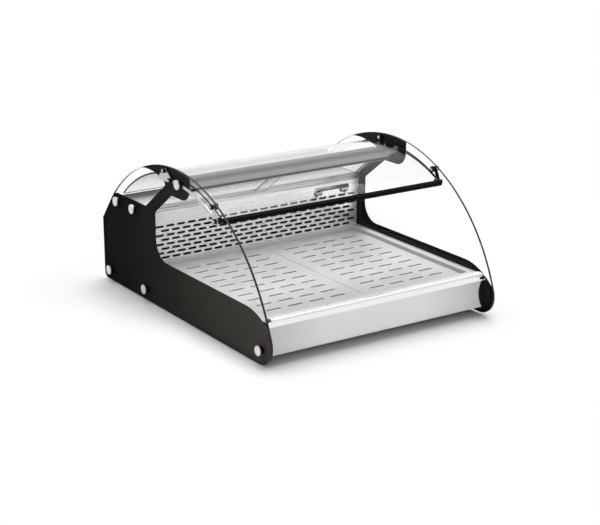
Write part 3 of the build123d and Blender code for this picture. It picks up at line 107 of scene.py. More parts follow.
# Relief of the finishes: strength and height
PLAIN_RELIEF = (0.1, 0.0002)
PRINT_RELIEF = (0.002, 0.0001)
MIRROR_RELIEF = (0.004, 0.0001)
FAINT_RELIEF = (0.01, 0.0001)
BRUSHED_RELIEF = (0.02, 0.0001)
COATED_RELIEF = (0.03, 0.0001)
FIN_RELIEF = (0.1, 0.0001)
FOAM_RELIEF = (0.3, 0.001)

# Glass, with cleaning marks on its sides and ground edges
PANE_IOR = 1.0
SHIELD_IOR = 1.20
DOOR_IOR = 1.25
SHIELD_SHADE = 0.97
GLASS_TINT = (0.55, 0.86, 0.72, 1.0)
GLASS_DENSITY = 4.0
SMEAR_DETAIL = 4.0
SMEAR_SPAN = (0.45, 0.75)
SMEAR_ROUGH = (0.0, 0.012)
GRIND_ROUGH = (0.25, 0.4)
PANE_EDGE = ((0.004, 0.022, 0.013), (0.008, 0.036, 0.022))
PANE_EDGE_SPECULAR = 0.2
DOOR_EDGE = ((0.001, 0.11, 0.09), (0.002, 0.14, 0.115))
DOOR_EDGE_SPECULAR = 0.0

# Lit pieces
COVER_GLOW = 6.0
COVER_SIDE_GLOW = 0.3
COVER_HUE = (1.0, 0.98, 0.94)
COVER_ROUGH = (0.3, 0.5)
NUMERAL_GLOW = 0.5
NUMERAL_HUE = (1.0, 0.04, 0.015)
HUE_SHARES = (0.87, 0.98)

# Graded finishes that paint light and shade: share of the way along the piece, and the painted level there
# Painted reflection on the print's outer side, lighter towards the front
PRINT_PAINTED_REFLECTION_STOPS = ((0.0, 0.050), (0.30, 0.038), (0.55, 0.022), (0.85, 0.0115), (1.0, 0.0115))
PRINT_TINT = (1.0, 0.92, 0.84)
# Painted light and shade on the lamp housing, front to rear: painted shadow at the lip, a pale painted
# highlight on the fascia, darker beyond
LAMP_PAINTED_LIGHT_STOPS = (
    (0.0, 0.004), (0.025, 0.006), (0.05, 0.25), (0.11, 0.25), (0.19, 0.04), (0.3, 0.05), (1.0, 0.16),
)
# Painted reflection on the front panel's face, darker towards its ends
PANEL_PAINTED_REFLECTION_STOPS = ((0.0, 0.48), (0.25, 0.66), (0.70, 0.68), (0.88, 0.55), (1.0, 0.38))
# Painted shade on the housing's top, darker to the rear
HOUSING_PAINTED_SHADE_STOPS = ((0.0, 0.54), (0.30, 0.42), (0.72, 0.09), (1.0, 0.06))
SATIN_ROUGH = (0.4, 0.5)
POLISHED_ROUGH = (0.05, 0.09)
NO_TINT = (1.0, 1.0, 1.0)
MOTTLE_SHADES = (0.97, 1.0)

# Choice of faces by their normals and areas
FLAT_SIDE = 0.9
STEEP_SIDE = 0.5
SLIGHT_SIDE = 0.1
SAME_PLANE = 0.9999
BROAD_SHARE = 0.9
DOOR_EDGE_AREA = 0.002
SMOOTH_ANGLE = math.radians(40.0)
WELD_REACH = 1e-6

# Print seat, and lamp lip with its painted shadow
PRINT_BOND = 0.00005
LIP_PAINTED_SHADOW_RISE = 0.004

# Shield handle: lengths from its middle, and heights over the sheet
HANDLE_TURN = math.radians(26.4)
HANDLE_HALF = 0.052
HANDLE_LEG_X = 0.030
HANDLE_FOOT = 0.0034
HANDLE_UNDER = 0.0130
HANDLE_TOP = 0.0190
HANDLE_DEEP = 0.010
HANDLE_EDGE = 0.0009
HANDLE_PAD_HALF = (0.0115, 0.00175)
HANDLE_PAD_X = 0.041
HANDLE_PAD_UP = 0.00185
EDGE_SEGMENTS = 3
EDGE_PROFILE = 0.5

# Display, key marks and rocker marks
DISPLAY_X = -0.107
DISPLAY_RECESS = 0.0006
DIGIT_HALF = (0.0031, 0.0061)
DIGIT_PITCH = 0.0100
DIGIT_STROKES = {2: "abged", 0: "abcdef"}
STROKE = 0.0008
STROKE_GAP = 0.0002
MARK_RISE = 0.00015
SET_MARK_HALF = (0.0018, 0.0018)
ARROW_HALF = 0.0023
ARROW_FOOT = 0.0016
ARROW_POINT = 0.0022
BAR_MARK_HALF = (0.0006, 0.0024)
RING_MARK = (0.0019, 0.0026)
RING_STEPS = 20

# End plug of the front panel's bevel, black as painted shade of the gap where the bevel stops short
NOTCH_SHADE_X = 0.3395
NOTCH_SHADE_HALF = (0.0085, 0.0036)
NOTCH_SHADE_RISE = 0.0006
NOTCH_SHADE_EDGE = NOTCH_SHADE_RISE / 4

# Sleeve and button on each guide pin: radius, and height over the guide plate
ROUND_STEPS = 32
PIN_SLEEVE = (
    (0.00605, 0.0000), (0.00660, 0.0000), (0.00680, 0.0003), (0.00680, 0.0058), (0.00660, 0.0064),
    (0.00610, 0.0067), (0.00400, 0.0067), (0.00385, 0.0065), (0.00385, 0.0041), (0.00605, 0.0041),
)
PIN_BUTTON = (
    (0.00010, 0.0040), (0.00380, 0.0040), (0.00380, 0.0066), (0.00350, 0.0070), (0.00260, 0.0073),
    (0.00140, 0.00745), (0.00010, 0.0075),
)


def grey(level):
    """Neutral colour."""
    return (level, level, level)


def new_material(name):
    """Empty node material with its shader."""
    made = bpy.data.materials.new(name)
    made.use_nodes = True
    return made, made.node_tree, made.node_tree.nodes["Principled BSDF"]


def noise(tree, stretch, detail=NOISE_DETAIL):
    """Noise stretched along the axes, given in cycles per metre."""
    place = tree.nodes.new("ShaderNodeTexCoord")
    mapping = tree.nodes.new("ShaderNodeMapping")
    mapping.inputs["Scale"].default_value = stretch
    texture = tree.nodes.new("ShaderNodeTexNoise")
    texture.inputs["Scale"].default_value = 1.0
    texture.inputs["Detail"].default_value = detail
    texture.inputs["Roughness"].default_value = NOISE_ROUGHNESS
    tree.links.new(place.outputs["Object"], mapping.inputs["Vector"])
    tree.links.new(mapping.outputs["Vector"], texture.inputs["Vector"])
    return texture.outputs["Fac"]


def spread(tree, factor, low, high, span=NOISE_SPAN):
    """Map a factor's span to a range of values."""
    node = tree.nodes.new("ShaderNodeMapRange")
    node.inputs["From Min"].default_value = span[0]
    node.inputs["From Max"].default_value = span[1]
    node.inputs["To Min"].default_value = low
    node.inputs["To Max"].default_value = high
    tree.links.new(factor, node.inputs["Value"])
    return node.outputs["Result"]


def combine(tree, operation, first, second):
    """Value worked out from two others."""
    node = tree.nodes.new("ShaderNodeMath")
    node.operation = operation
    tree.links.new(first, node.inputs[0])
    tree.links.new(second, node.inputs[1])
    return node.outputs["Value"]


def blend_colours(tree, factor, dark, light):
    """Colour between two others, following a noise."""
    ramp = tree.nodes.new("ShaderNodeValToRGB")
    for element, position, colour in zip(ramp.color_ramp.elements, NOISE_SPAN, (dark, light)):
        element.position = position
        element.color = (*colour, 1.0)
    tree.links.new(factor, ramp.inputs["Fac"])
    return ramp.outputs["Color"]


def bump(tree, shader, factor, strength, distance):
    """Raise the surface along a factor."""
    node = tree.nodes.new("ShaderNodeBump")
    node.inputs["Strength"].default_value = strength
    node.inputs["Distance"].default_value = distance
    tree.links.new(factor, node.inputs["Height"])
    tree.links.new(node.outputs["Normal"], shader.inputs["Normal"])


def surface(name, dark, light, metallic, rough, stretch, relief=PLAIN_RELIEF, specular=0.5):
    """Opaque finish whose colour, roughness and relief follow one noise."""
    made, tree, shader = new_material(name)
    grain = noise(tree, stretch)
    tree.links.new(blend_colours(tree, grain, dark, light), shader.inputs["Base Color"])
    tree.links.new(spread(tree, grain, *rough), shader.inputs["Roughness"])
    bump(tree, shader, grain, *relief)
    shader.inputs["Metallic"].default_value = metallic
    shader.inputs["Specular IOR Level"].default_value = specular
    return made


def shade_along(tree, axis, reach, stops, tint):
    """Painted light and shade: colour that follows the place along one axis."""
    place = tree.nodes.new("ShaderNodeTexCoord")
    parts = tree.nodes.new("ShaderNodeSeparateXYZ")
    tree.links.new(place.outputs["Object"], parts.inputs["Vector"])
    ramp = tree.nodes.new("ShaderNodeValToRGB")
    tree.links.new(spread(tree, parts.outputs[axis], *FULL_SPAN, reach), ramp.inputs["Fac"])
    elements = ramp.color_ramp.elements
    for position, level in stops:
        if position == FULL_SPAN[0]:
            element = elements[0]
        elif position == FULL_SPAN[1]:
            element = elements[-1]
        else:
            element = elements.new(position)
        element.color = (*[level * part for part in tint], 1.0)
    return ramp.outputs["Color"]


def graded_painted_light(name, axis, reach, stops, rough, tint=NO_TINT, metallic=0.0, stretch=SPANGLE):
    """Finish with painted light and shade that follows the place along one axis, with a faint grain."""
    made, tree, shader = new_material(name)
    grain = noise(tree, stretch)
    dark, light = MOTTLE_SHADES
    mottle = tree.nodes.new("ShaderNodeMix")
    mottle.data_type = "RGBA"
    mottle.blend_type = "MULTIPLY"
    mottle.inputs["Factor"].default_value = 1.0
    tree.links.new(shade_along(tree, axis, reach, stops, tint), mottle.inputs["A"])
    tree.links.new(blend_colours(tree, grain, grey(dark), grey(light)), mottle.inputs["B"])
    tree.links.new(mottle.outputs["Result"], shader.inputs["Base Color"])
    tree.links.new(spread(tree, grain, *rough), shader.inputs["Roughness"])
    bump(tree, shader, grain, *FAINT_RELIEF)
    shader.inputs["Metallic"].default_value = metallic
    shader.inputs["Specular IOR Level"].default_value = 0.0
    return made


def glass(name, bend, shade=1.0):
    """Clear glass, green in depth, with faint cleaning marks."""
    made, tree, shader = new_material(name)
    marks = noise(tree, SMEARS, SMEAR_DETAIL)
    tree.links.new(spread(tree, marks, *SMEAR_ROUGH, SMEAR_SPAN), shader.inputs["Roughness"])
    shader.inputs["Base Color"].default_value = (*grey(shade), 1.0)
    shader.inputs["Transmission Weight"].default_value = 1.0
    shader.inputs["IOR"].default_value = bend
    depth = tree.nodes.new("ShaderNodeVolumeAbsorption")
    depth.inputs["Color"].default_value = GLASS_TINT
    depth.inputs["Density"].default_value = GLASS_DENSITY
    tree.links.new(depth.outputs["Volume"], tree.nodes["Material Output"].inputs["Volume"])
    return made


def ground_edge(name, dark, light, specular):
    """Ground edge of a glass sheet."""
    made, tree, shader = new_material(name)
    grind = noise(tree, GRIND)
    tree.links.new(blend_colours(tree, grind, dark, light), shader.inputs["Base Color"])
    tree.links.new(spread(tree, grind, *GRIND_ROUGH), shader.inputs["Roughness"])
    shader.inputs["Specular IOR Level"].default_value = specular
    return made


def lit_diffuser(name, glow, hue=COVER_HUE):
    """Frosted cover, lit from behind."""
    made, tree, shader = new_material(name)
    beads = noise(tree, BEADS)
    dark, light = [[share * part for part in hue] for share in HUE_SHARES]
    tree.links.new(blend_colours(tree, beads, dark, light), shader.inputs["Base Color"])
    shader.inputs["Emission Color"].default_value = (*hue, 1.0)
    shader.inputs["Emission Strength"].default_value = glow
    tree.links.new(spread(tree, beads, *COVER_ROUGH), shader.inputs["Roughness"])
    return made


# Finishes by record slot, and some that only this script uses
finishes = {
    "glass": glass("glass", PANE_IOR),
    "black_print": surface(
        "black_print", grey(0.005), grey(0.007), 0.0, (0.4, 0.5), SPANGLE, PRINT_RELIEF, 0.1
    ),
    "black_steel": surface(
        "black_steel", grey(0.005), grey(0.008), 0.0, (0.35, 0.5), FINE, COATED_RELIEF, 0.12
    ),
    "steel": surface(
        "steel", grey(0.52), grey(0.60), 1.0, (0.34, 0.44), BRUSH_X, BRUSHED_RELIEF
    ),
    "polished_steel": surface(
        "polished_steel", grey(0.60), grey(0.64), 1.0, POLISHED_ROUGH, CLOUDS, MIRROR_RELIEF
    ),
    # Front panel's bevel: the panel's steel drawn brighter, a painted highlight
    "bevel": surface(
        "bevel_painted_highlight", grey(0.84), grey(0.88), 1.0, (0.10, 0.16), CLOUDS, MIRROR_RELIEF
    ),
    "galvanised": surface(
        "galvanised", (0.42, 0.43, 0.44), (0.58, 0.59, 0.60), 1.0, (0.32, 0.5), SPANGLE
    ),
    "aluminium": surface(
        "aluminium", grey(0.62), grey(0.70), 1.0, (0.25, 0.35), BRUSH_X, BRUSHED_RELIEF
    ),
    "chrome": surface(
        "chrome", grey(0.60), grey(0.66), 1.0, (0.05, 0.10), SPANGLE, MIRROR_RELIEF
    ),
    # Chrome drawn dark for the handle's top, a painted reflection
    "chrome_painted_dark_reflection": surface(
        "chrome_painted_dark_reflection", grey(0.06), grey(0.09), 1.0, (0.08, 0.14), SPANGLE, MIRROR_RELIEF
    ),
    "black_plastic": surface(
        "black_plastic", (0.004, 0.0035, 0.0035), (0.006, 0.0055, 0.0055), 0.0, (0.3, 0.45),
        FINE, COATED_RELIEF, 0.12
    ),
    "white_plastic": surface(
        "white_plastic", (0.70, 0.70, 0.68), (0.78, 0.78, 0.76), 0.0, (0.35, 0.5), FINE
    ),
    "diffuser": lit_diffuser("diffuser", COVER_GLOW),
    "diffuser_side": lit_diffuser("diffuser_side", COVER_SIDE_GLOW),
    "numerals": lit_diffuser("numerals", NUMERAL_GLOW, NUMERAL_HUE),
    "foam": surface(
        "foam", (0.72, 0.66, 0.46), (0.82, 0.76, 0.58), 0.0, (0.7, 0.9), SPANGLE, FOAM_RELIEF
    ),
    "rubber": surface(
        "rubber", grey(0.010), grey(0.018), 0.0, (0.6, 0.8), FINE
    ),
    "copper": surface(
        "copper", (0.62, 0.29, 0.16), (0.76, 0.40, 0.24), 1.0, (0.2, 0.35), SPANGLE
    ),
    "fins": surface(
        "fins", grey(0.55), grey(0.66), 1.0, (0.3, 0.45), SPANGLE
    ),
    "machine_black": surface(
        "machine_black", grey(0.008), grey(0.014), 0.0, (0.3, 0.45), FINE
    ),
}

# Finishes of single nodes
special = {
    "shield_edge_bar": surface(
        "bar_black", grey(0.003), grey(0.005), 0.0, (0.3, 0.45), BRUSH_X, BRUSHED_RELIEF, 0.03
    ),
    "deck_plates": surface(
        "deck_steel", grey(0.46), grey(0.52), 0.5, (0.46, 0.56), BRUSH_X, COATED_RELIEF, 0.2
    ),
    "well_flange": surface(
        "flange_steel", grey(0.52), grey(0.59), 0.5, (0.46, 0.56), BRUSH_X, BRUSHED_RELIEF, 0.2
    ),
    "housing_cover": surface(
        "satin_steel", grey(0.52), grey(0.60), 0.3, (0.5, 0.6), BRUSH_X, BRUSHED_RELIEF, 0.2
    ),
    "guide_plates": surface(
        "guide_steel", grey(0.46), grey(0.54), 1.0, (0.2, 0.3), BRUSH_X, BRUSHED_RELIEF
    ),
    "front_rim": surface(
        "bright_rim", grey(0.80), grey(0.86), 0.8, (0.24, 0.32), CLOUDS, MIRROR_RELIEF
    ),
    "back_grille": surface(
        "bright_steel", grey(0.88), grey(0.94), 0.7, (0.24, 0.32), BRUSH_X, BRUSHED_RELIEF
    ),
    "evaporator_coil": surface(
        "coated_fins", grey(0.008), grey(0.014), 0.0, (0.4, 0.6), FINE, FIN_RELIEF, 0.1
    ),
    "partition": surface(
        "cold_wall", grey(0.010), grey(0.016), 0.0, (0.5, 0.7), SPANGLE, PLAIN_RELIEF, 0.1
    ),
    "back_header": surface(
        "bright_header", grey(0.90), grey(0.94), 0.4, (0.20, 0.30), BRUSH_X, FAINT_RELIEF
    ),
}
pane_edge = ground_edge("pane_edge", *PANE_EDGE, PANE_EDGE_SPECULAR)
door_edge = ground_edge("door_edge", *DOOR_EDGE, DOOR_EDGE_SPECULAR)
pane_looks = (finishes["glass"], pane_edge)
shield_looks = (glass("bent_glass", SHIELD_IOR, SHIELD_SHADE), pane_edge)
door_looks = (glass("door_glass", DOOR_IOR), door_edge)


def dress_nodes():
    """Give every node its own finish, or that of its record slot."""
    for node_name, slot in slots.items():
        node = nodes[node_name]
        node.data.materials.clear()
        node.data.materials.append(special.get(node_name, finishes[slot]))


def copy_of(name, node_name):
    """New piece with a node's shape, which stands for that node."""
    piece = bpy.data.objects.new(name, nodes[node_name].data.copy())
    scene.collection.objects.link(piece)
    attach(piece, nodes[node_name]["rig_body"])
    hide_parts(node_name)
    return piece


def piece_from(mesh, name, body, slot):
    """New piece from a finished mesh, smooth but for its sharp edges."""
    data = bpy.data.meshes.new(name)
    mesh.to_mesh(data)
    mesh.free()
    data.shade_smooth()
    data.set_sharp_from_angle(angle=SMOOTH_ANGLE)
    data.materials.append(finishes[slot])
    piece = bpy.data.objects.new(name, data)
    scene.collection.objects.link(piece)
    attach(piece, body)
    return piece


def prisms(name, outlines, axes, seat, depth, edge, body, slot):
    """Small bars: each an outline in the plane of the first two axes, given depth along the third."""
    across, upward, outward = axes
    mesh = bmesh.new()
    for outline in outlines:
        near = [mesh.verts.new(seat + across * x + upward * y) for x, y in outline]
        far = [mesh.verts.new(vertex.co + outward * depth) for vertex in near]
        mesh.faces.new(near)
        mesh.faces.new(list(reversed(far)))
        for here in range(len(outline)):
            after = (here + 1) % len(outline)
            mesh.faces.new((near[here], far[here], far[after], near[after]))
    bmesh.ops.recalc_face_normals(mesh, faces=mesh.faces)
    if edge > 0.0:
        bmesh.ops.bevel(
            mesh, geom=mesh.edges[:], offset=edge, affect="EDGES", segments=EDGE_SEGMENTS,
            profile=EDGE_PROFILE,
        )
    return piece_from(mesh, name, body, slot)


def turned(name, profile, seats, body, slot):
    """Round piece on each seat: a profile of radius and height, turned about the X axis."""
    mesh = bmesh.new()
    for seat in seats:
        outward = Vector((math.copysign(1.0, seat.x), 0.0, 0.0))
        rings = []
        for step in range(ROUND_STEPS):
            turn = 2.0 * math.pi * step / ROUND_STEPS
            side = Vector((0.0, math.cos(turn), math.sin(turn)))
            places = [seat + side * radius + outward * height for radius, height in profile]
            rings.append([mesh.verts.new(place) for place in places])
        for near, far in zip(rings, rings[1:] + rings[:1]):
            for here in range(len(profile)):
                after = (here + 1) % len(profile)
                mesh.faces.new((near[here], near[after], far[after], far[here]))
    bmesh.ops.recalc_face_normals(mesh, faces=mesh.faces)
    return piece_from(mesh, name, body, slot)


def oblong(half_wide, half_high, middle=(0.0, 0.0)):
    """Four-sided outline about a middle."""
    x, y = middle
    return (
        (x - half_wide, y - half_high), (x - half_wide, y + half_high),
        (x + half_wide, y + half_high), (x + half_wide, y - half_high),
    )


def corners_of(data, faces):
    """Places of the corners of some faces."""
    return [data.vertices[corner].co for face in faces for corner in face.vertices]


def middle_of(corners, axes):
    """Middle of some corners along the first two axes, and their outermost place along the third."""
    across, upward, outward = axes
    place = outward * max(corner.dot(outward) for corner in corners)
    for axis in (across, upward):
        along = [corner.dot(axis) for corner in corners]
        place = place + axis * (min(along) + max(along)) / 2
    return place


def broadest(faces):
    """Face with the largest area."""
    return max(faces, key=lambda face: face.area)


def on_end_pane(face):
    """True on the outer and inner sides of an end pane."""
    return abs(face.normal.x) > FLAT_SIDE


def on_shield(face):
    """True on the shield's curved sides, which face to and from the arch's axis."""
    out = face.center - shield_axis
    out.x = 0.0
    return abs(face.normal.dot(out.normalized())) > FLAT_SIDE


def on_door(face):
    """True on the broad sides of a door."""
    return abs(face.normal.x) < SLIGHT_SIDE and face.area > DOOR_EDGE_AREA


def make_glass(name, node_name, broad_side, looks):
    """Glass sheet with clear broad sides and ground edges."""
    piece = copy_of(name, node_name)
    piece.data.materials.clear()
    for material in looks:
        piece.data.materials.append(material)
    for face in piece.data.polygons:
        face.material_index = 0 if broad_side(face) else 1
    piece.visible_shadow = False


def bond_print():
    """Print seated in the inner face of the panes, so that no air is left between them; its outer side
    carries a painted reflection, lighter towards the front.
    """
    piece = copy_of("printed_fields", "end_prints")
    low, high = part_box("end_prints")
    painted_reflection = graded_painted_light("print_painted_reflection", "Y", (low[1], high[1]), PRINT_PAINTED_REFLECTION_STOPS, SATIN_ROUGH, PRINT_TINT)
    piece.data.materials.append(painted_reflection)
    offsets = [abs(vertex.co.x) for vertex in piece.data.vertices]
    middle = (max(offsets) + min(offsets)) / 2
    for vertex in piece.data.vertices:
        if abs(vertex.co.x) > middle:
            vertex.co.x += math.copysign(PRINT_BOND, vertex.co.x)
    # Outer sides of the print take the painted reflection.
    for face in piece.data.polygons:
        if face.normal.x * face.center.x > 0.0 and abs(face.normal.x) > FLAT_SIDE:
            face.material_index = 1


def lamp_painted_light():
    """Lamp housing with painted light and shade that follow its depth, and a painted shadow along its lip.
    """
    piece = copy_of("lamp_painted_light", "lamp_housing")
    low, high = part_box("lamp_housing")
    piece.data.materials.clear()
    piece.data.materials.append(graded_painted_light("lamp_painted_light", "Y", (low[1], high[1]), LAMP_PAINTED_LIGHT_STOPS, SATIN_ROUGH))
    # Down-facing faces at the foot of the lip take black, a painted shadow.
    piece.data.materials.append(finishes["black_plastic"])
    for face in piece.data.polygons:
        if face.normal.z < -STEEP_SIDE and face.center.z < low[2] + LIP_PAINTED_SHADOW_RISE:
            face.material_index = 1


def lit_cover():
    """Lamp cover that gives its light downwards."""
    piece = copy_of("lit_cover", "led_diffuser")
    piece.data.materials.append(finishes["diffuser_side"])
    for face in piece.data.polygons:
        face.material_index = 0 if face.normal.z < -FLAT_SIDE else 1


def housing_top_painted_shade():
    """Machine housing whose top has painted shade, darker to the rear."""
    piece = copy_of("housing_shell", "housing_cover")
    tops = [face for face in piece.data.polygons if face.normal.z > FLAT_SIDE]
    depths = [corner.y for corner in corners_of(piece.data, tops)]
    reach = (min(depths), max(depths))
    top_painted_shade = graded_painted_light("housing_top_painted_shade", "Y", reach, HOUSING_PAINTED_SHADE_STOPS, SATIN_ROUGH, stretch=BRUSH_X)
    piece.data.materials.append(top_painted_shade)
    for face in tops:
        face.material_index = 1


def bar_handle():
    """Polished handle whose top carries a painted dark reflection, on two rubber pads."""
    across = Vector((1.0, 0.0, 0.0))
    outward = Vector((0.0, -math.sin(HANDLE_TURN), math.cos(HANDLE_TURN)))
    axes = (across, outward, across.cross(outward))
    sheet_low, sheet_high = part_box("shield_sheet")
    sheet_radius = sheet_high[2] - shield_axis.z
    seat = shield_axis + outward * sheet_radius - axes[2] * HANDLE_DEEP / 2
    seat.x = (sheet_low[0] + sheet_high[0]) / 2
    bow = (
        (-HANDLE_HALF, HANDLE_FOOT), (-HANDLE_HALF, HANDLE_TOP),
        (HANDLE_HALF, HANDLE_TOP), (HANDLE_HALF, HANDLE_FOOT),
        (HANDLE_LEG_X, HANDLE_FOOT), (HANDLE_LEG_X, HANDLE_UNDER),
        (-HANDLE_LEG_X, HANDLE_UNDER), (-HANDLE_LEG_X, HANDLE_FOOT),
    )
    piece = prisms("bar_handle", [bow], axes, seat, HANDLE_DEEP, HANDLE_EDGE, "shield", "chrome")
    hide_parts("shield_handle")
    piece.data.materials.append(finishes["chrome_painted_dark_reflection"])
    # Faces that look out from the sheet take the painted dark reflection.
    for face in piece.data.polygons:
        if face.normal.dot(outward) > STEEP_SIDE:
            face.material_index = 1
    pads = [oblong(*HANDLE_PAD_HALF, (middle, HANDLE_PAD_UP)) for middle in (-HANDLE_PAD_X, HANDLE_PAD_X)]
    prisms("handle_pads", pads, axes, seat, HANDLE_DEEP, HANDLE_EDGE, "shield", "rubber")


def facing_rear_and_up(node_name):
    """Faces of a node that look to the rear and up."""
    faces = nodes[node_name].data.polygons
    return [face for face in faces if face.normal.y > SLIGHT_SIDE and face.normal.z > SLIGHT_SIDE]


def axes_on(normal):
    """Axes on a face of the rear slope: to the right seen from behind, up the slope, and out."""
    across = Vector((-1.0, 0.0, 0.0))
    return across, normal.cross(across), normal


def ring_outlines(inner, outer):
    """Ring in short four-sided steps."""
    outlines = []
    for step in range(RING_STEPS):
        start, end = [2.0 * math.pi * (step + more) / RING_STEPS for more in (0, 1)]
        corners = ((inner, start), (outer, start), (outer, end), (inner, end))
        outlines.append([(radius * math.cos(turn), radius * math.sin(turn)) for radius, turn in corners])
    return outlines


def digit_outlines(digit, middle):
    """Numeral of up to seven strokes, each named by its letter."""
    wide, high = DIGIT_HALF
    strokes = {
        "a": (0.0, high, True),
        "b": (wide, high / 2, False),
        "c": (wide, -high / 2, False),
        "d": (0.0, -high, True),
        "e": (-wide, -high / 2, False),
        "f": (-wide, high / 2, False),
        "g": (0.0, 0.0, True),
    }
    outlines = []
    for letter in DIGIT_STROKES[digit]:
        x, y, level = strokes[letter]
        reach = (wide if level else high / 2) - STROKE_GAP
        shape = (
            (-reach, 0.0), (STROKE - reach, STROKE), (reach - STROKE, STROKE),
            (reach, 0.0), (reach - STROKE, -STROKE), (STROKE - reach, -STROKE),
        )
        if not level:
            shape = [(b, a) for a, b in shape]
        outlines.append([(middle + x + a, y + b) for a, b in shape])
    return outlines


def display_numerals(slope):
    """Lit numerals in the thermostat's display, with a point between them."""
    body = nodes["thermostat_body"].data
    seat = middle_of([vertex.co for vertex in body.vertices], slope) - slope[2] * DISPLAY_RECESS
    seat.x = DISPLAY_X
    numerals = digit_outlines(2, -DIGIT_PITCH / 2) + digit_outlines(0, DIGIT_PITCH / 2)
    numerals.append(oblong(STROKE, STROKE, (0.0, -DIGIT_HALF[1])))
    piece = prisms("display_numerals", numerals, slope, seat, MARK_RISE, 0.0, "case", "diffuser")
    piece.data.materials.clear()
    piece.data.materials.append(finishes["numerals"])


def key_marks(slope):
    """Mark on each key of the thermostat."""
    marks = {
        "set": oblong(*SET_MARK_HALF),
        "up": ((-ARROW_HALF, -ARROW_FOOT), (0.0, ARROW_POINT), (ARROW_HALF, -ARROW_FOOT)),
        "down": ((-ARROW_HALF, ARROW_FOOT), (ARROW_HALF, ARROW_FOOT), (0.0, -ARROW_POINT)),
    }
    for key, outline in marks.items():
        data = nodes[f"thermostat_key_{key}"].data
        seat = middle_of([vertex.co for vertex in data.vertices], slope)
        prisms(f"{key}_mark", [outline], slope, seat, MARK_RISE, 0.0, f"{key}_key", "black_plastic")


def rocker_marks(name):
    """Bar on the upper half of a rocker and ring on its lower half."""
    data = nodes[f"{name}_rocker"].data
    tops = facing_rear_and_up(f"{name}_rocker")
    least = broadest(tops).area * BROAD_SHARE
    halves = sorted((face for face in tops if face.area > least), key=lambda face: face.center.z)
    marks = ((halves[-1], [oblong(*BAR_MARK_HALF)], "bar"), (halves[0], ring_outlines(*RING_MARK), "ring"))
    for half, outlines, mark in marks:
        level = [face for face in tops if face.normal.dot(half.normal) > SAME_PLANE]
        axes = axes_on(half.normal.copy())
        seat = middle_of(corners_of(data, level), axes)
        prisms(f"{name}_{mark}", outlines, axes, seat, MARK_RISE, 0.0, f"{name}_switch", "white_plastic")


def control_marks():
    """Numerals in the display, and marks on the keys and rockers."""
    slope = axes_on(broadest(facing_rear_and_up("thermostat_body")).normal.copy())
    display_numerals(slope)
    key_marks(slope)
    for name in ("power", "light"):
        rocker_marks(name)


def polished_panel():
    """Front panel with a painted reflection that changes across it, a bevel along its top drawn brighter as
    a painted highlight, and a black plug in the bevel's end standing for a shaded gap.
    """
    piece = copy_of("polished_panel", "front_panel")
    low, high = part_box("front_panel")
    reach = (low[0], high[0])
    face_painted_reflection = graded_painted_light("panel_face_painted_reflection", "X", reach, PANEL_PAINTED_REFLECTION_STOPS, POLISHED_ROUGH, metallic=1.0, stretch=CLOUDS)
    piece.data.materials.clear()
    piece.data.materials.append(face_painted_reflection)
    piece.data.materials.append(finishes["bevel"])
    faces = piece.data.polygons
    bevel = [face for face in faces if face.normal.y < -STEEP_SIDE and face.normal.z > SLIGHT_SIDE]
    # Bevel faces take the painted highlight.
    for face in bevel:
        face.material_index = 1
    outward = broadest(bevel).normal.copy()
    across = Vector((1.0, 0.0, 0.0))
    axes = (across, outward.cross(across), outward)
    seat = middle_of(corners_of(piece.data, bevel), axes)
    seat.x = NOTCH_SHADE_X
    # Black plug on the bevel's end: painted shade standing for a gap.
    prisms("bevel_notch_shade", [oblong(*NOTCH_SHADE_HALF)], axes, seat, NOTCH_SHADE_RISE, NOTCH_SHADE_EDGE, "case", "black_plastic")


def pin_seats():
    """Middle of each guide pin, on the outer face of its guide plate."""
    plate_low, plate_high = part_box("guide_plates")
    mesh = bmesh.new()
    mesh.from_mesh(nodes["guide_pins"].data)
    bmesh.ops.remove_doubles(mesh, verts=mesh.verts, dist=WELD_REACH)
    seats = []
    reached = set()
    for start in mesh.verts:
        if start in reached:
            continue
        reached.add(start)
        pin = [start]
        for vertex in pin:
            for edge in vertex.link_edges:
                neighbour = edge.other_vert(vertex)
                if neighbour not in reached:
                    reached.add(neighbour)
                    pin.append(neighbour)
        depths = [vertex.co.y for vertex in pin]
        heights = [vertex.co.z for vertex in pin]
        plate_x = plate_low[0] if start.co.x < 0.0 else plate_high[0]
        seats.append(Vector((plate_x, (min(depths) + max(depths)) / 2, (min(heights) + max(heights)) / 2)))
    mesh.free()
    return seats


def pin_heads():
    """Dark sleeve and bright button on each guide pin."""
    seats = pin_seats()
    turned("pin_sleeves", PIN_SLEEVE, seats, "case", "black_plastic")
    turned("pin_buttons", PIN_BUTTON, seats, "case", "chrome")


def seen_directly(tree):
    """One for camera, glossy and transmitted rays, and zero for the rest."""
    path = tree.nodes.new("ShaderNodeLightPath")
    seen = path.outputs["Is Camera Ray"]
    for ray in ("Is Glossy Ray", "Is Transmission Ray"):
        seen = combine(tree, "MAXIMUM", seen, path.outputs[ray])
    return seen


def floor_finish():
    """Pale matt floor, lifted where it is seen, with a painted contact shadow where things stand close over
    it.
    """
    made, tree, shader = new_material("floor")
    shader.inputs["Base Color"].default_value = (*grey(FLOOR_ALBEDO), 1.0)
    shader.inputs["Roughness"].default_value = FLOOR_ROUGHNESS
    shader.inputs["Specular IOR Level"].default_value = 0.0
    # Occlusion that dims the lift near the object: a painted contact shadow.
    cover = tree.nodes.new("ShaderNodeAmbientOcclusion")
    cover.samples = CONTACT_SHADOW_SAMPLES
    cover.inputs["Distance"].default_value = CONTACT_SHADOW_REACH
    lift = spread(tree, seen_directly(tree), 0.0, FLOOR_LIFT, FULL_SPAN)
    shader.inputs["Emission Color"].default_value = (*grey(1.0), 1.0)
    tree.links.new(combine(tree, "MULTIPLY", lift, cover.outputs["AO"]), shader.inputs["Emission Strength"])
    return made


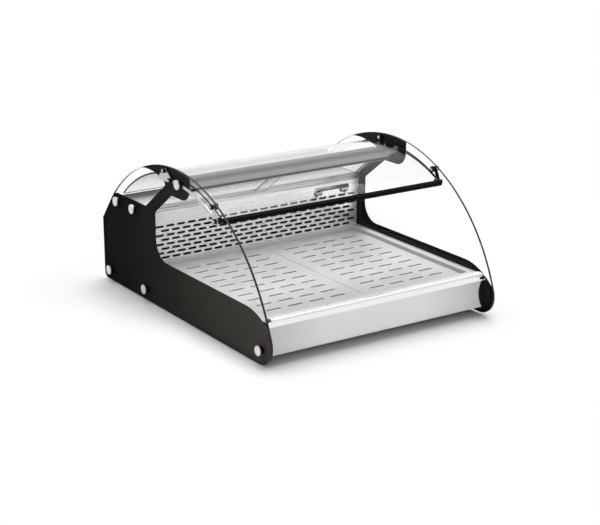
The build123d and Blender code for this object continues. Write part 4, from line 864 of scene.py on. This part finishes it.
def make_floor():
    """Wide floor under the feet, facing up."""
    data = bpy.data.meshes.new("floor")
    corners = [(x, y, 0.0) for x, y in reversed(oblong(FLOOR_HALF, FLOOR_HALF))]
    data.from_pydata(corners, [], [(0, 1, 2, 3)])
    data.materials.append(floor_finish())
    floor = bpy.data.objects.new("floor", data)
    scene.collection.objects.link(floor)


def make_world():
    """Surroundings that are white where they are seen and dimmer as a source of light."""
    world = bpy.data.worlds.new("studio")
    world.use_nodes = True
    scene.world = world
    tree = world.node_tree
    backdrop = tree.nodes["Background"]
    level = spread(tree, seen_directly(tree), WORLD_LEVEL, 1.0, FULL_SPAN)
    backdrop.inputs["Color"].default_value = (*grey(1.0), 1.0)
    tree.links.new(level, backdrop.inputs["Strength"])


def add_sun():
    """Broad soft lamp high above the object."""
    data = bpy.data.lights.new("overhead", "SUN")
    data.energy = SUN_LEVEL
    data.angle = math.radians(SUN_SPREAD)
    lamp = bpy.data.objects.new("overhead", data)
    lamp.rotation_euler = Vector(SUN_FROM).to_track_quat("Z", "Y").to_euler()
    scene.collection.objects.link(lamp)


def add_camera():
    """Camera that looks down on the object from its front left."""
    data = bpy.data.cameras.new("camera")
    data.lens = CAMERA_LENS
    data.sensor_width = SENSOR_WIDTH
    data.sensor_fit = "HORIZONTAL"
    camera = bpy.data.objects.new("camera", data)
    camera.location = CAMERA_PLACE
    camera.rotation_euler = (math.radians(90.0 - CAMERA_DOWN), 0.0, math.radians(CAMERA_TURN))
    scene.collection.objects.link(camera)
    scene.camera = camera


scene.view_settings.view_transform = "Standard"
dress_nodes()
make_glass("end_pane_left", "end_glass_left", on_end_pane, pane_looks)
make_glass("end_pane_right", "end_glass_right", on_end_pane, pane_looks)
make_glass("curved_shield", "shield_sheet", on_shield, shield_looks)
make_glass("door_pane_left", "door_left", on_door, door_looks)
make_glass("door_pane_right", "door_right", on_door, door_looks)
bond_print()
lamp_painted_light()
lit_cover()
housing_top_painted_shade()
bar_handle()
control_marks()
polished_panel()
pin_heads()
make_floor()
make_world()
add_sun()
add_camera()
